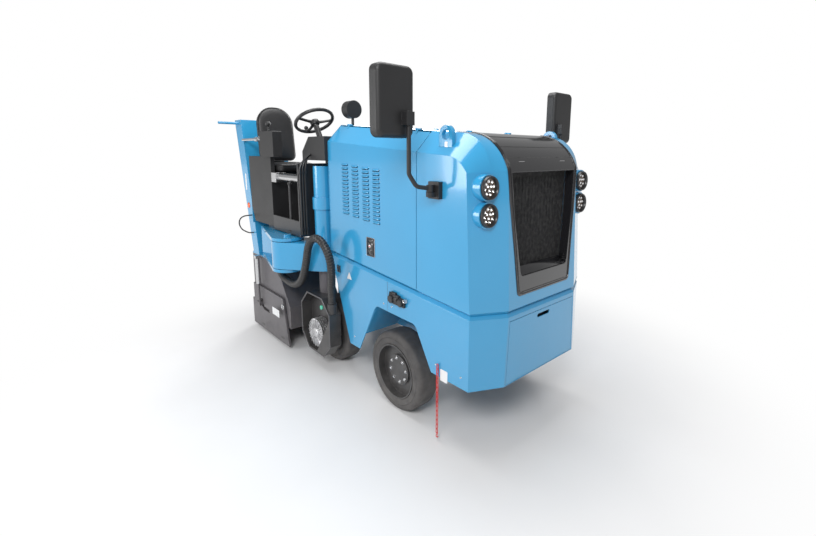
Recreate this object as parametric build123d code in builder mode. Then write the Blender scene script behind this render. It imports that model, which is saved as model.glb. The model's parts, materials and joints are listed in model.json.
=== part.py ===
from build123d import *
import os
from math import cos, radians, sin, sqrt, tan

# Cold planer of the half-metre class, on four solid-tyred wheels. Millimetres. +X points to the grille,
# +Y to the machine's left, +Z up. The floor is z = 0, and the origin lies under the middle of the machine.
# The milling drum is at the rear right, and the rear right wheel is swung in ahead of it.

os.makedirs("parts", exist_ok=True)

# ---- Driving dimensions -------------------------------------------------------------------------------
# Body
FRONT_X = 1820.0            # front plane of the nose
REAR_X = -1823.0            # rearmost edge of the rear mast
HALF_WIDTH = 650.0          # side planes of hood and lower body
FALL = 0.0716               # fall of belt, shoulder and hood top for each millimetre forward
BODY_REAR_X = 2.0           # rear end of the hood
BELT_REAR_Z = 1111.0        # belt between hood and lower body, at the hood's rear end
SHOULDER_REAR_Z = 2096.0    # where the side turns into the top chamfer, at the hood's rear end
TOP_REAR_Z = 2241.0         # hood top at its rear end
TOP_HALF = 508.0            # half width of the flat hood top
CORNER_X = 1706.0           # where the side turns into the front corner, at the belt
NOSE_HALF_BELT = 400.0      # half width of the nose at the belt
NOSE_HALF_LOW = 425.0       # half width of the nose at the lower body's bottom
BODY_BOTTOM_Z = 482.0
SHEET = 6.0                 # body sheet
BEVEL = 20.0                # bevel along the top of the lower body
FLANGE = 20.0               # flat flange inside the bevel
FOOT = 22.0                 # inward facet along the foot of the hood
SKIRT_TIP_X = 290.0         # rear lower tip of the skirt behind the arch
SKIRT_BOTTOM_Z = 335.0
ARCH_POINTS = ((442.0, 335.0), (693.0, 792.0), (1177.0, 782.0), (1352.0, 482.0))    # x, z
ARCH_ROUND = 60.0
SEAM = 5.0                  # gap round a door or flap
DOOR_FRONT_X = 1195.0       # front edge of the engine doors
HINGE_RISE = 4.0            # door hinge axis above the hood top
HINGE_RADIUS = 8.0
HINGE_PIN_RADIUS = 3.0
HINGE_LENGTH = 60.0
HINGE_STRAP = 28.0          # how far a door's hinge strap runs down its skin
LOUVRE_COLUMNS = (280.0, 430.0, 580.0, 720.0)    # x of each column of slots in the engine doors
LOUVRE_ROWS = 14
LOUVRE_PITCH = 31.0
LOUVRE_SIZE = (85.0, 12.0)
LOUVRE_DROP = 176.0         # first slot below the shoulder
FLAP_TOP_Z = 930.0
FLAP_RIM = 16.0             # what stays of the front face beside the flap

# Wheels
TYRE_RADIUS = 317.0
TYRE_WIDTH = 190.0
RIM_RADIUS = 215.0
RIM_WALL = 10.0
RIM_DISC_INSET = 60.0       # outer face of the disc behind the tyre's outer face
RIM_DISC = 20.0
HUB_PLATE_RADIUS = 120.0
HUB_PLATE = 18.0
FRONT_WHEEL_X = 924.0
FRONT_WHEEL_Y = 555.0
KINGPIN_Y = 415.0
REAR_RIGHT_X = -160.0
REAR_RIGHT_Y = -500.0
REAR_LEFT_X = -830.0
REAR_LEFT_Y = 550.0
MOTOR_RADIUS = 100.0
RUN = 0.5                   # running clearance of shafts and sleeves
SEAT = 0.3                  # clearance between curved pieces that lie on each other

# Chassis
RAIL_Y = 235.0              # middle of each rail
RAIL_WIDTH = 70.0
RAIL_LOW_Z = 500.0
RAIL_TOP_Z = 640.0
RAIL_FRONT_X = 1700.0
RIGHT_RAIL_REAR_X = -560.0
LEFT_RAIL_REAR_X = -1500.0
CARRIER_LOW_Z = 862.0       # plate over the drum housing
CARRIER = 18.0
DECK_Z = 1250.0             # top of the operator's deck
DECK = 25.0

# Milling gear
DRUM_X = -1080.0
DRUM_Y = -525.0
DRUM_WIDTH = 500.0
CUT_RADIUS = 325.0
CUT_LOW_Z = 40.0            # pick tips above the floor at rest
DRUM_TUBE_RADIUS = 245.0
HOUSING_REAR_X = -1530.0
HOUSING_FRONT_X = -600.0
HOUSING_RIGHT_Y = -800.0
HOUSING_LEFT_Y = -240.0
HOUSING_TOP_Z = 862.0
HOUSING_SHEET = 14.0
SIDE_PLATE = 20.0
SIDE_PLATE_LOW_Z = 30.0
SIDE_PLATE_TOP_Z = 520.0

# Sighting chain at the front right
CHAIN_X = 1430.0
CHAIN_Y = -HALF_WIDTH - 12.0
CHAIN_TOP_Z = 560.0         # middle of its first link
CHAIN_PITCH = 35.0
CHAIN_LINKS = 15
LINK_WIRE = 4.0
LINK_SIZE = (43.0, 22.0)
CHAIN_PEG_RADIUS = 3.5      # peg on the body that it hangs from
CHAIN_PEG = 22.0

# Swing gear and lifting columns
PIVOT_X = -480.0
PIVOT_Y = -840.0
COLUMN_OFFSET_Y = -120.0    # column axis from the middle of its tyre
COLUMN_RADIUS = 85.0
LEG_RADIUS = 65.0
ARM_LOW_Z = 925.0
ARM_TOP_Z = 1180.0
SLEEVE_TOP_Z = 1880.0


SLOPE_SCALE = sqrt(1 + FALL**2)    # length along the fall for each millimetre of x


def belt_z(x):
    """Height of the belt at x."""
    return BELT_REAR_Z - FALL * (x - BODY_REAR_X)


def shoulder_z(x):
    """Height at x of the edge between side and top chamfer."""
    return SHOULDER_REAR_Z - FALL * (x - BODY_REAR_X)


def top_z(x):
    """Height of the hood top at x."""
    return TOP_REAR_Z - FALL * (x - BODY_REAR_X)


def nose_half(z):
    """Half width of the nose at height z."""
    share = (z - BODY_BOTTOM_Z) / (belt_z(FRONT_X) - BODY_BOTTOM_Z)
    return NOSE_HALF_LOW + share * (NOSE_HALF_BELT - NOSE_HALF_LOW)


def plan_points(nose, rear_x):
    """Plan of the body: straight sides, straight corners and a flat nose."""
    right = [(rear_x, -HALF_WIDTH), (CORNER_X, -HALF_WIDTH), (FRONT_X, -nose)]
    left = [(x, -y) for x, y in reversed(right)]
    return right + left


def belt_plane(height):
    """A plane parallel to the belt, this much above it."""
    return Plane(origin=(0, 0, belt_z(0) + height), x_dir=(1, 0, -FALL), z_dir=(FALL, 0, 1))


def belt_band(low, low_inset, high, high_inset, rear_x):
    """Solid between two levels of the belt, each with its own inset from the plan, cut off at rear_x."""
    outline = [(x * SLOPE_SCALE, y) for x, y in plan_points(NOSE_HALF_BELT, rear_x - 2 * HALF_WIDTH)]
    with BuildPart() as band:
        for level, inset in ((low, low_inset), (high, high_inset)):
            with BuildSketch(belt_plane(level)):
                with BuildLine():
                    Polyline(*outline, close=True)
                make_face()
                if inset:
                    offset(amount=-inset, kind=Kind.INTERSECTION, mode=Mode.REPLACE)
        loft(ruled=True)
        split(bisect_by=Plane.YZ.offset(rear_x), keep=Keep.TOP)
    return band.part


def box_between(low, high):
    """Box from its low corner to its high corner, joined to the part being built."""
    middle = [(a + b) / 2 for a, b in zip(low, high)]
    size = [b - a for a, b in zip(low, high)]
    with Locations(tuple(middle)):
        Box(*size)


def cut_between(low, high):
    """Box from its low corner to its high corner, cut from the part being built."""
    middle = [(a + b) / 2 for a, b in zip(low, high)]
    size = [b - a for a, b in zip(low, high)]
    with Locations(tuple(middle)):
        Box(*size, mode=Mode.SUBTRACT)


# ---- Lower body ---------------------------------------------------------------------------------------
BODY_LOW_MARGIN = 100.0
with BuildPart() as lower_outside:
    for z in (SKIRT_BOTTOM_Z - BODY_LOW_MARGIN, BELT_REAR_Z + BODY_LOW_MARGIN):
        with BuildSketch(Plane.XY.offset(z)):
            with BuildLine():
                Polyline(*plan_points(nose_half(z), BODY_REAR_X), close=True)
            make_face()
    loft(ruled=True)

with BuildPart() as lower_inside:
    for z in (SKIRT_BOTTOM_Z - BODY_LOW_MARGIN, BELT_REAR_Z + BODY_LOW_MARGIN):
        with BuildSketch(Plane.XY.offset(z)):
            with BuildLine():
                Polyline(*plan_points(nose_half(z), BODY_REAR_X - BODY_LOW_MARGIN), close=True)
            make_face()
            offset(amount=-SHEET, kind=Kind.INTERSECTION, mode=Mode.REPLACE)
    loft(ruled=True)

FLAP_HINGE_Y = 250.0
FLAP_BARREL = 40.0
FLAP_BARREL_RADIUS = 3.5
FLAP_PIN_RADIUS = 1.5
FLAP_AXIS_RISE = 1.5
FLAP_TAIL = 8.0             # strip that joins a hinge barrel to the flap
with BuildPart() as lower_body:
    add(lower_outside.part)
    add(lower_inside.part, mode=Mode.SUBTRACT)
    with BuildSketch(Plane.XZ) as body_side:
        with BuildLine():
            Polyline(
                (BODY_REAR_X, belt_z(BODY_REAR_X) - BEVEL),
                (FRONT_X, belt_z(FRONT_X) - BEVEL),
                (FRONT_X, BODY_BOTTOM_Z),
                (ARCH_POINTS[3][0], BODY_BOTTOM_Z),
                (ARCH_POINTS[2][0], ARCH_POINTS[2][1]),
                (ARCH_POINTS[1][0], ARCH_POINTS[1][1]),
                (ARCH_POINTS[0][0], ARCH_POINTS[0][1]),
                (SKIRT_TIP_X, SKIRT_BOTTOM_Z),
                close=True,
            )
        make_face()
        arch_corners = body_side.vertices().filter_by(
            lambda v: ARCH_POINTS[1][0] - 1 < v.X < ARCH_POINTS[2][0] + 1 and v.Z < ARCH_POINTS[1][1] + 1
        )
        fillet(arch_corners, ARCH_ROUND)
    extrude(amount=2 * HALF_WIDTH, both=True, mode=Mode.INTERSECT)
    add(belt_band(-BEVEL, 0, 0, BEVEL, BODY_REAR_X))
    add(belt_band(-BEVEL - 1, SHEET, -SHEET, BEVEL, BODY_REAR_X - BODY_LOW_MARGIN), mode=Mode.SUBTRACT)
    add(
        belt_band(-SHEET - 1, BEVEL + FLANGE, 1, BEVEL + FLANGE, BODY_REAR_X - BODY_LOW_MARGIN),
        mode=Mode.SUBTRACT,
    )
    with BuildSketch(Plane.YZ.offset(FRONT_X)):
        with BuildLine():
            flap_low_z = BODY_BOTTOM_Z + SHEET
            low_half = nose_half(flap_low_z) - FLAP_RIM
            top_half = nose_half(FLAP_TOP_Z) - FLAP_RIM
            flap_corners = (
                (-low_half, flap_low_z), (low_half, flap_low_z),
                (top_half, FLAP_TOP_Z), (-top_half, FLAP_TOP_Z),
            )
            Polyline(*flap_corners, close=True)
        make_face()
    extrude(amount=-2 * SHEET, mode=Mode.SUBTRACT)
    for hinge_y in (-FLAP_HINGE_Y, FLAP_HINGE_Y):
        with BuildSketch(Plane.XZ.offset(-(hinge_y - FLAP_BARREL / 2))):
            with Locations((FRONT_X, flap_low_z + FLAP_AXIS_RISE)):
                Circle(FLAP_BARREL_RADIUS + RUN)
        extrude(amount=-FLAP_BARREL, mode=Mode.SUBTRACT)
        for radius, length in ((FLAP_BARREL_RADIUS, FLAP_BARREL), (FLAP_PIN_RADIUS, 2 * FLAP_BARREL)):
            for end in (-1, 1):
                middle = hinge_y + end * FLAP_BARREL if length == FLAP_BARREL else hinge_y
                with BuildSketch(Plane.XZ.offset(-(middle - length / 2))):
                    with Locations((FRONT_X, flap_low_z + FLAP_AXIS_RISE)):
                        Circle(radius)
                extrude(amount=-length)
    with BuildSketch(Plane.XZ.offset(HALF_WIDTH)):
        with Locations((CHAIN_X, CHAIN_TOP_Z + LINK_SIZE[0] / 2 - LINK_WIRE - CHAIN_PEG_RADIUS - SEAT)):
            Circle(CHAIN_PEG_RADIUS)
    extrude(amount=CHAIN_PEG)
lower_body.part.label = "lower_body"
export_step(lower_body.part, "parts/lower_body.step")

# ---- Front flap: bottom-hinged sheet with a hand slot ----------------------------------------------------
FLAP_GAP = 3.0
FLAP_SLOT = (150.0, 26.0)
FLAP_SLOT_DROP = 40.0
with BuildPart() as front_flap:
    with BuildSketch(Plane.YZ.offset(FRONT_X)):
        with BuildLine():
            Polyline(*flap_corners, close=True)
        make_face()
        offset(amount=-FLAP_GAP, kind=Kind.INTERSECTION, mode=Mode.REPLACE)
        with Locations((0, FLAP_TOP_Z - FLAP_SLOT_DROP)):
            RectangleRounded(*FLAP_SLOT, FLAP_SLOT[1] / 2 - 1, mode=Mode.SUBTRACT)
    extrude(amount=-SHEET)
    for hinge_y in (-FLAP_HINGE_Y, FLAP_HINGE_Y):
        for radius, length, mode in (
            (FLAP_BARREL_RADIUS + RUN, 3 * FLAP_BARREL + 2 * RUN, Mode.SUBTRACT),
            (FLAP_BARREL_RADIUS, FLAP_BARREL - 2 * RUN, Mode.ADD),
        ):
            with BuildSketch(Plane.XZ.offset(-(hinge_y - length / 2))):
                with Locations((FRONT_X, flap_low_z + FLAP_AXIS_RISE)):
                    Circle(radius)
            extrude(amount=-length, mode=mode)
        with BuildSketch(Plane.XZ.offset(-(hinge_y - FLAP_BARREL / 2 + RUN))):
            with Locations((FRONT_X - SHEET / 2, flap_low_z + FLAP_AXIS_RISE + FLAP_TAIL / 2)):
                Rectangle(SHEET, FLAP_TAIL)
        extrude(amount=-(FLAP_BARREL - 2 * RUN))
        with BuildSketch(Plane.XZ.offset(-(hinge_y - FLAP_BARREL))):
            with Locations((FRONT_X, flap_low_z + FLAP_AXIS_RISE)):
                Circle(FLAP_PIN_RADIUS + SEAT)
        extrude(amount=-2 * FLAP_BARREL, mode=Mode.SUBTRACT)
front_flap.part.label = "front_flap"
export_step(front_flap.part, "parts/front_flap.step")

# ---- Wheel-arch liners -----------------------------------------------------------------------------------
LINER = 4.0
LINER_INNER_Y = 312.0
LINER_LOW_Z = 505.0
with BuildPart() as wheel_liners:
    for side in (-1, 1):
        for depth, width in ((LINER_INNER_Y, HALF_WIDTH - SHEET - LINER_INNER_Y), (LINER_INNER_Y, LINER)):
            with BuildSketch(Plane.XZ.offset(-side * depth)):
                with BuildLine():
                    Polyline(*ARCH_POINTS, close=True)
                make_face()
                if width > LINER:
                    offset(amount=-LINER, kind=Kind.INTERSECTION, mode=Mode.SUBTRACT)
            extrude(amount=-side * width)
    cut_between(
        (0, -HALF_WIDTH, 0),
        (FRONT_X, HALF_WIDTH, LINER_LOW_Z),
    )
wheel_liners.part.label = "wheel_liners"
export_step(wheel_liners.part, "parts/wheel_liners.step")

# ---- Front hood: lofted cowl with an opening for the grille ------------------------------------------------
COWL_SHEET = 8.0
# half_y, top z at the door seam, x where the top curve starts, x and z where it ends, x at the belt
COWL_SECTIONS = (
    (HALF_WIDTH, shoulder_z(DOOR_FRONT_X), 1490.0, 1655.0, 1885.0, CORNER_X),
    (TOP_HALF, top_z(DOOR_FRONT_X), 1480.0, 1722.0, 1900.0, 1770.0),
    (NOSE_HALF_BELT, top_z(DOOR_FRONT_X), 1465.0, 1775.0, 1900.0, FRONT_X),
)
# half width and height of the corners of the opening for the grille
GRILLE_OUTLINE = ((312.0, 1080.0), (340.0, 1340.0), (390.0, 1710.0), (405.0, 1900.0), (405.0, 2300.0))
MESH_OUTLINE = ((276.0, 1210.0), (340.0, 1600.0), (366.0, 1888.0))
GRILLE_CORNER = 34.0
COVER_REAR_X = 1430.0
LAMP_Y = HALF_WIDTH - 110.0
LAMP_FACE_X = 1752.0
LAMP_Z = (1800.0, 1630.0)
LAMP_RADIUS = 74.0
LAMP_DEPTH = 55.0
POD_RADIUS = 84.0           # tube of the hood that holds a lamp
POD_INSET = 12.0            # its rim behind the lamp's face
POD_DEPTH = 90.0
POD_REACH = 20.0            # the lamp's bore runs this far ahead of its face, through the hood beside it
EYE_X = 1421.0
EYE_Y = TOP_HALF + 78.0
EYE_Z = TOP_REAR_Z - 120.0
EYE_THICK = 30.0
EYE_WIDTH = 120.0
EYE_FOOT = 120.0            # how far an eye's plate runs down below its hole
EYE_BORE_RADIUS = 33.0


def cowl_outline(section, inset):
    """Side view of one section of the cowl, as points for its lines and its one arc."""
    seam_top, curve_x, end_x, end_z, belt_x = section[1:]
    rear_x = DOOR_FRONT_X if inset == 0 else DOOR_FRONT_X - 2 * COWL_SHEET
    drop = FOOT if inset == 0 else -2 * COWL_SHEET
    curve_z = seam_top - FALL * (curve_x - DOOR_FRONT_X) - inset
    lean = (belt_x - end_x) / (end_z - belt_z(belt_x))
    low_x = belt_x - lean * drop - inset
    return (
        (rear_x, belt_z(rear_x) + drop),
        (rear_x, seam_top - FALL * (rear_x - DOOR_FRONT_X) - inset),
        (curve_x, curve_z),
        (end_x - inset, end_z - inset),
        (low_x, belt_z(low_x) + drop),
    )


def cowl(inset):
    """Ruled loft through the sections from side to side, drawn inset from the outer skin."""
    sections = list(COWL_SECTIONS)
    with BuildPart() as solid:
        for side, order in ((-1, sections), (1, sections[::-1])):
            for section in order:
                sheet = inset if section[0] == HALF_WIDTH else inset / 2
                corners = cowl_outline(section, inset)
                with BuildSketch(Plane.XZ.offset(-side * (section[0] - sheet))):
                    with BuildLine():
                        Polyline(corners[4], corners[0], corners[1], corners[2])
                        TangentArc(corners[2], corners[3], tangent=(1, -FALL))
                        Line(corners[3], corners[4])
                    make_face()
        loft(ruled=True)
    return solid.part


def front_view(points, low_x, high_x, gap=0.0):
    """Prism along X through an outline given as half widths and heights, with rounded lower corners."""
    right = [(half, z) for half, z in points]
    left = [(-half, z) for half, z in reversed(right)]
    with BuildPart() as prism:
        with BuildSketch(Plane.YZ.offset(low_x)):
            with BuildLine():
                Polyline(*right, *left, close=True)
            make_face()
            fillet(vertices().group_by(Axis.Y)[0], GRILLE_CORNER)
            if gap:
                offset(amount=-gap, kind=Kind.INTERSECTION, mode=Mode.REPLACE)
        extrude(amount=high_x - low_x)
    return prism.part


FRONT_MARGIN = 60.0
with BuildPart() as hood_front:
    add(cowl(0.0))
    add(cowl(COWL_SHEET), mode=Mode.SUBTRACT)
    add(belt_band(0, FOOT, FOOT, 0, DOOR_FRONT_X))
    add(
        belt_band(-1, FOOT + COWL_SHEET, FOOT + 1, COWL_SHEET, DOOR_FRONT_X - 2 * COWL_SHEET),
        mode=Mode.SUBTRACT,
    )
    add(front_view(GRILLE_OUTLINE, COVER_REAR_X, FRONT_X + FRONT_MARGIN), mode=Mode.SUBTRACT)
    for side in (-1, 1):
        cut_between(
            (EYE_X - EYE_WIDTH / 2 - SEAT, side * EYE_Y - EYE_THICK / 2 - SEAT, EYE_Z - 1.5 * EYE_FOOT),
            (EYE_X + EYE_WIDTH / 2 + SEAT, side * EYE_Y + EYE_THICK / 2 + SEAT, EYE_Z + EYE_WIDTH),
        )
        for lamp_z in LAMP_Z:
            with BuildSketch(Plane.YZ.offset(LAMP_FACE_X - POD_INSET)):
                with Locations((side * LAMP_Y, lamp_z)):
                    Circle(POD_RADIUS)
            extrude(amount=-POD_DEPTH)
    for side in (-1, 1):
        for lamp_z in LAMP_Z:
            with BuildSketch(Plane.YZ.offset(LAMP_FACE_X + POD_REACH)):
                with Locations((side * LAMP_Y, lamp_z)):
                    Circle(LAMP_RADIUS + SEAT)
            extrude(amount=-POD_DEPTH, mode=Mode.SUBTRACT)
hood_front.part.label = "hood_front"
export_step(hood_front.part, "parts/hood_front.step")

with BuildPart() as front_lamps:
    for side in (-1, 1):
        for lamp_z in LAMP_Z:
            with BuildSketch(Plane.YZ.offset(LAMP_FACE_X)):
                with Locations((side * LAMP_Y, lamp_z)):
                    Circle(LAMP_RADIUS)
            extrude(amount=-LAMP_DEPTH)
front_lamps.part.label = "front_lamps"
export_step(front_lamps.part, "parts/front_lamps.step")

with BuildPart() as lifting_eyes:
    for side in (-1, 1):
        with BuildSketch(Plane.XZ.offset(-side * EYE_Y)):
            with Locations((EYE_X, EYE_Z)):
                Circle(EYE_WIDTH / 2)
            with Locations((EYE_X, EYE_Z - EYE_FOOT / 2)):
                Rectangle(EYE_WIDTH, EYE_FOOT)
            with Locations((EYE_X, EYE_Z)):
                Circle(EYE_BORE_RADIUS, mode=Mode.SUBTRACT)
        extrude(amount=EYE_THICK / 2, both=True)
lifting_eyes.part.label = "lifting_eyes"
export_step(lifting_eyes.part, "parts/lifting_eyes.step")

# ---- Grille: black frame that runs up over the nose, mesh and radiator ----------------------------------
FRAME_DEPTH = 24.0
FRAME_PROUD = 3.0
FRAME_GAP = 0.5             # between the frame's sides and the hood
RECESS_DEPTH = 62.0         # how far the mesh lies behind the nose, with walls round the recess
RECESS_WALL = 6.0
MESH_SHEET = 4.0
MESH_LAP = 12.0
MESH_PITCH = 60.0
MESH_BAR = 10.0
MESH_ROWS = 11
_, SEAM_TOP, CURVE_X, END_X, END_Z, NOSE_X = COWL_SECTIONS[-1]
NOSE_LEAN = (NOSE_X - END_X) / (END_Z - belt_z(NOSE_X))


def nose_outline(inset):
    """Side view of the nose on the centre line, inset from its skin, from the seam down to the belt."""
    curve_z = SEAM_TOP - FALL * (CURVE_X - DOOR_FRONT_X) - inset
    with BuildLine() as line:
        Line((DOOR_FRONT_X, SEAM_TOP - inset), (CURVE_X, curve_z))
        TangentArc((CURVE_X, curve_z), (END_X - inset, END_Z), tangent=(1, -FALL))
        Line((END_X - inset, END_Z), (NOSE_X - inset, belt_z(NOSE_X)))
    return line.line


def nose_slab(near, far, low_z, high_z):
    """Slab across the body that follows the lean of the nose, between two insets from it."""
    corners = [
        (NOSE_X - inset - NOSE_LEAN * (z - belt_z(NOSE_X)), z)
        for inset, z in ((near, low_z), (near, high_z), (far, high_z), (far, low_z))
    ]
    with BuildPart() as slab:
        with BuildSketch(Plane.XZ):
            with BuildLine():
                Polyline(*corners, close=True)
            make_face()
        extrude(amount=HALF_WIDTH, both=True)
    return slab.part


with BuildPart() as recess:
    recess_low = MESH_OUTLINE[0][1] - RECESS_WALL
    recess_top = MESH_OUTLINE[-1][1] + RECESS_WALL
    add(nose_slab(FRAME_PROUD, RECESS_DEPTH, recess_low, recess_top))
    add(front_view(MESH_OUTLINE, CURVE_X, FRONT_X + FRONT_MARGIN, gap=-RECESS_WALL), mode=Mode.INTERSECT)

with BuildPart() as grille_frame:
    with BuildSketch(Plane.XZ):
        outer = nose_outline(-FRAME_PROUD)
        inner = nose_outline(FRAME_DEPTH)
        with BuildLine():
            add(outer)
            Line(outer @ 1, inner @ 1)
            add(inner)
            Line(inner @ 0, outer @ 0)
        make_face()
    extrude(amount=HALF_WIDTH, both=True)
    add(front_view(GRILLE_OUTLINE, COVER_REAR_X, FRONT_X + FRONT_MARGIN, gap=FRAME_GAP), mode=Mode.INTERSECT)
    add(recess.part)
    add(front_view(MESH_OUTLINE, CURVE_X, FRONT_X + FRONT_MARGIN), mode=Mode.SUBTRACT)
grille_frame.part.label = "grille_frame"
export_step(grille_frame.part, "parts/grille_frame.step")

mesh_low = MESH_OUTLINE[0][1] - MESH_LAP
mesh_top = MESH_OUTLINE[-1][1] + MESH_LAP
with BuildPart() as grille_mesh:
    add(nose_slab(RECESS_DEPTH + SEAT, RECESS_DEPTH + SEAT + MESH_SHEET, mesh_low, mesh_top))
    mesh_half = [half + MESH_LAP for half, z in MESH_OUTLINE]
    add(
        front_view(
            ((mesh_half[0], mesh_low), (mesh_half[1], MESH_OUTLINE[1][1]), (mesh_half[2], mesh_top + 1)),
            CURVE_X, FRONT_X + FRONT_MARGIN,
        ),
        mode=Mode.INTERSECT,
    )
    with BuildSketch(Plane.YZ.offset(CURVE_X)):
        for row in range(MESH_ROWS):
            row_z = MESH_OUTLINE[0][1] + MESH_PITCH * (row + 0.5)
            share = (row_z - MESH_PITCH / 2 - MESH_OUTLINE[0][1]) / (MESH_OUTLINE[-1][1] - MESH_OUTLINE[0][1])
            half = MESH_OUTLINE[0][0] + share * (MESH_OUTLINE[-1][0] - MESH_OUTLINE[0][0])
            cells = int(2 * half / MESH_PITCH)
            with Locations((0, row_z)):
                with GridLocations(MESH_PITCH, MESH_PITCH, cells, 1):
                    Rectangle(MESH_PITCH - MESH_BAR, MESH_PITCH - MESH_BAR)
    extrude(amount=FRONT_X - CURVE_X, mode=Mode.SUBTRACT)
grille_mesh.part.label = "grille_mesh"
export_step(grille_mesh.part, "parts/grille_mesh.step")

RADIATOR_LOW = (1630.0, -300.0, 1100.0)
RADIATOR_HIGH = (1690.0, 300.0, 1850.0)
FOOT_HALF_Y = 30.0          # half width of the feet that stand on the rails
with BuildPart() as radiator:
    box_between(RADIATOR_LOW, RADIATOR_HIGH)
    for side in (-1, 1):
        box_between(
            (RADIATOR_LOW[0], side * RAIL_Y - FOOT_HALF_Y, RAIL_TOP_Z),
            (RADIATOR_HIGH[0], side * RAIL_Y + FOOT_HALF_Y, RADIATOR_LOW[2]),
        )
radiator.part.label = "radiator"
export_step(radiator.part, "parts/radiator.step")

ENGINE_LOW = (250.0, -270.0, 720.0)
ENGINE_HIGH = (1100.0, 270.0, 1500.0)
ENGINE_FEET_X = (340.0, 1010.0)
ENGINE_FOOT_HALF = 40.0
with BuildPart() as engine_block:
    box_between(ENGINE_LOW, ENGINE_HIGH)
    for mount_x in ENGINE_FEET_X:
        for side in (-1, 1):
            box_between(
                (mount_x - ENGINE_FOOT_HALF, side * RAIL_Y - FOOT_HALF_Y, RAIL_TOP_Z),
                (mount_x + ENGINE_FOOT_HALF, side * RAIL_Y + FOOT_HALF_Y, ENGINE_LOW[2]),
            )
engine_block.part.label = "engine_block"
export_step(engine_block.part, "parts/engine_block.step")

# ---- Hood top with the rear bulkhead, and the engine doors -----------------------------------------------
HINGE_STATIONS = (0.12, 0.5, 0.88)
HINGE_MARGIN = 2.0          # between a hinge barrel and the skins beside it
BULKHEAD_LOW_Z = 860.0
door_run = DOOR_FRONT_X - BODY_REAR_X
hinge_places = [BODY_REAR_X + share * door_run for share in HINGE_STATIONS]


def hinge_location(x, side):
    """Middle of a hinge barrel on a door's top edge, with its Z along the edge."""
    return Plane(
        origin=(x, side * TOP_HALF, top_z(x) + HINGE_RISE), x_dir=(0, 1, 0), z_dir=(1, 0, -FALL)
    )


with BuildPart() as hood_top:
    with BuildSketch(Plane.YZ.offset(BODY_REAR_X)):
        with Locations((0, top_z(BODY_REAR_X) - SHEET / 2)):
            Rectangle(2 * (TOP_HALF - HINGE_RADIUS - HINGE_MARGIN), SHEET)
    extrude(amount=door_run * SLOPE_SCALE, dir=(1, 0, -FALL))
    with BuildSketch(Plane.YZ.offset(BODY_REAR_X)):
        with BuildLine():
            right = (
                (HALF_WIDTH - BEVEL - FLANGE - 1, BULKHEAD_LOW_Z),
                (HALF_WIDTH - BEVEL - FLANGE - 1, belt_z(BODY_REAR_X) + SEAT),
                (HALF_WIDTH - BEVEL, belt_z(BODY_REAR_X) + SEAT),
                (HALF_WIDTH, belt_z(BODY_REAR_X) + BEVEL),
                (HALF_WIDTH, shoulder_z(BODY_REAR_X) - SHEET * FALL),
                (TOP_HALF, top_z(BODY_REAR_X) - SHEET * FALL),
            )
            Polyline(*right, *[(-half, z) for half, z in reversed(right)], close=True)
        make_face()
    extrude(amount=SHEET)
    for side in (-1, 1):
        for hinge_x in hinge_places:
            for end in (-1, 1):
                with BuildSketch(hinge_location(hinge_x + end * HINGE_LENGTH / 3 - HINGE_LENGTH / 6, side)):
                    Circle(HINGE_RADIUS)
                    with Locations((-side * HINGE_RADIUS, -HINGE_RADIUS / 2)):
                        Rectangle(2 * HINGE_RADIUS, HINGE_RADIUS)
                extrude(amount=HINGE_LENGTH / 3 - 1)
            with BuildSketch(hinge_location(hinge_x - HINGE_LENGTH / 2, side)):
                Circle(HINGE_PIN_RADIUS)
            extrude(amount=HINGE_LENGTH)
hood_top.part.label = "hood_top"
export_step(hood_top.part, "parts/hood_top.step")

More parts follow.
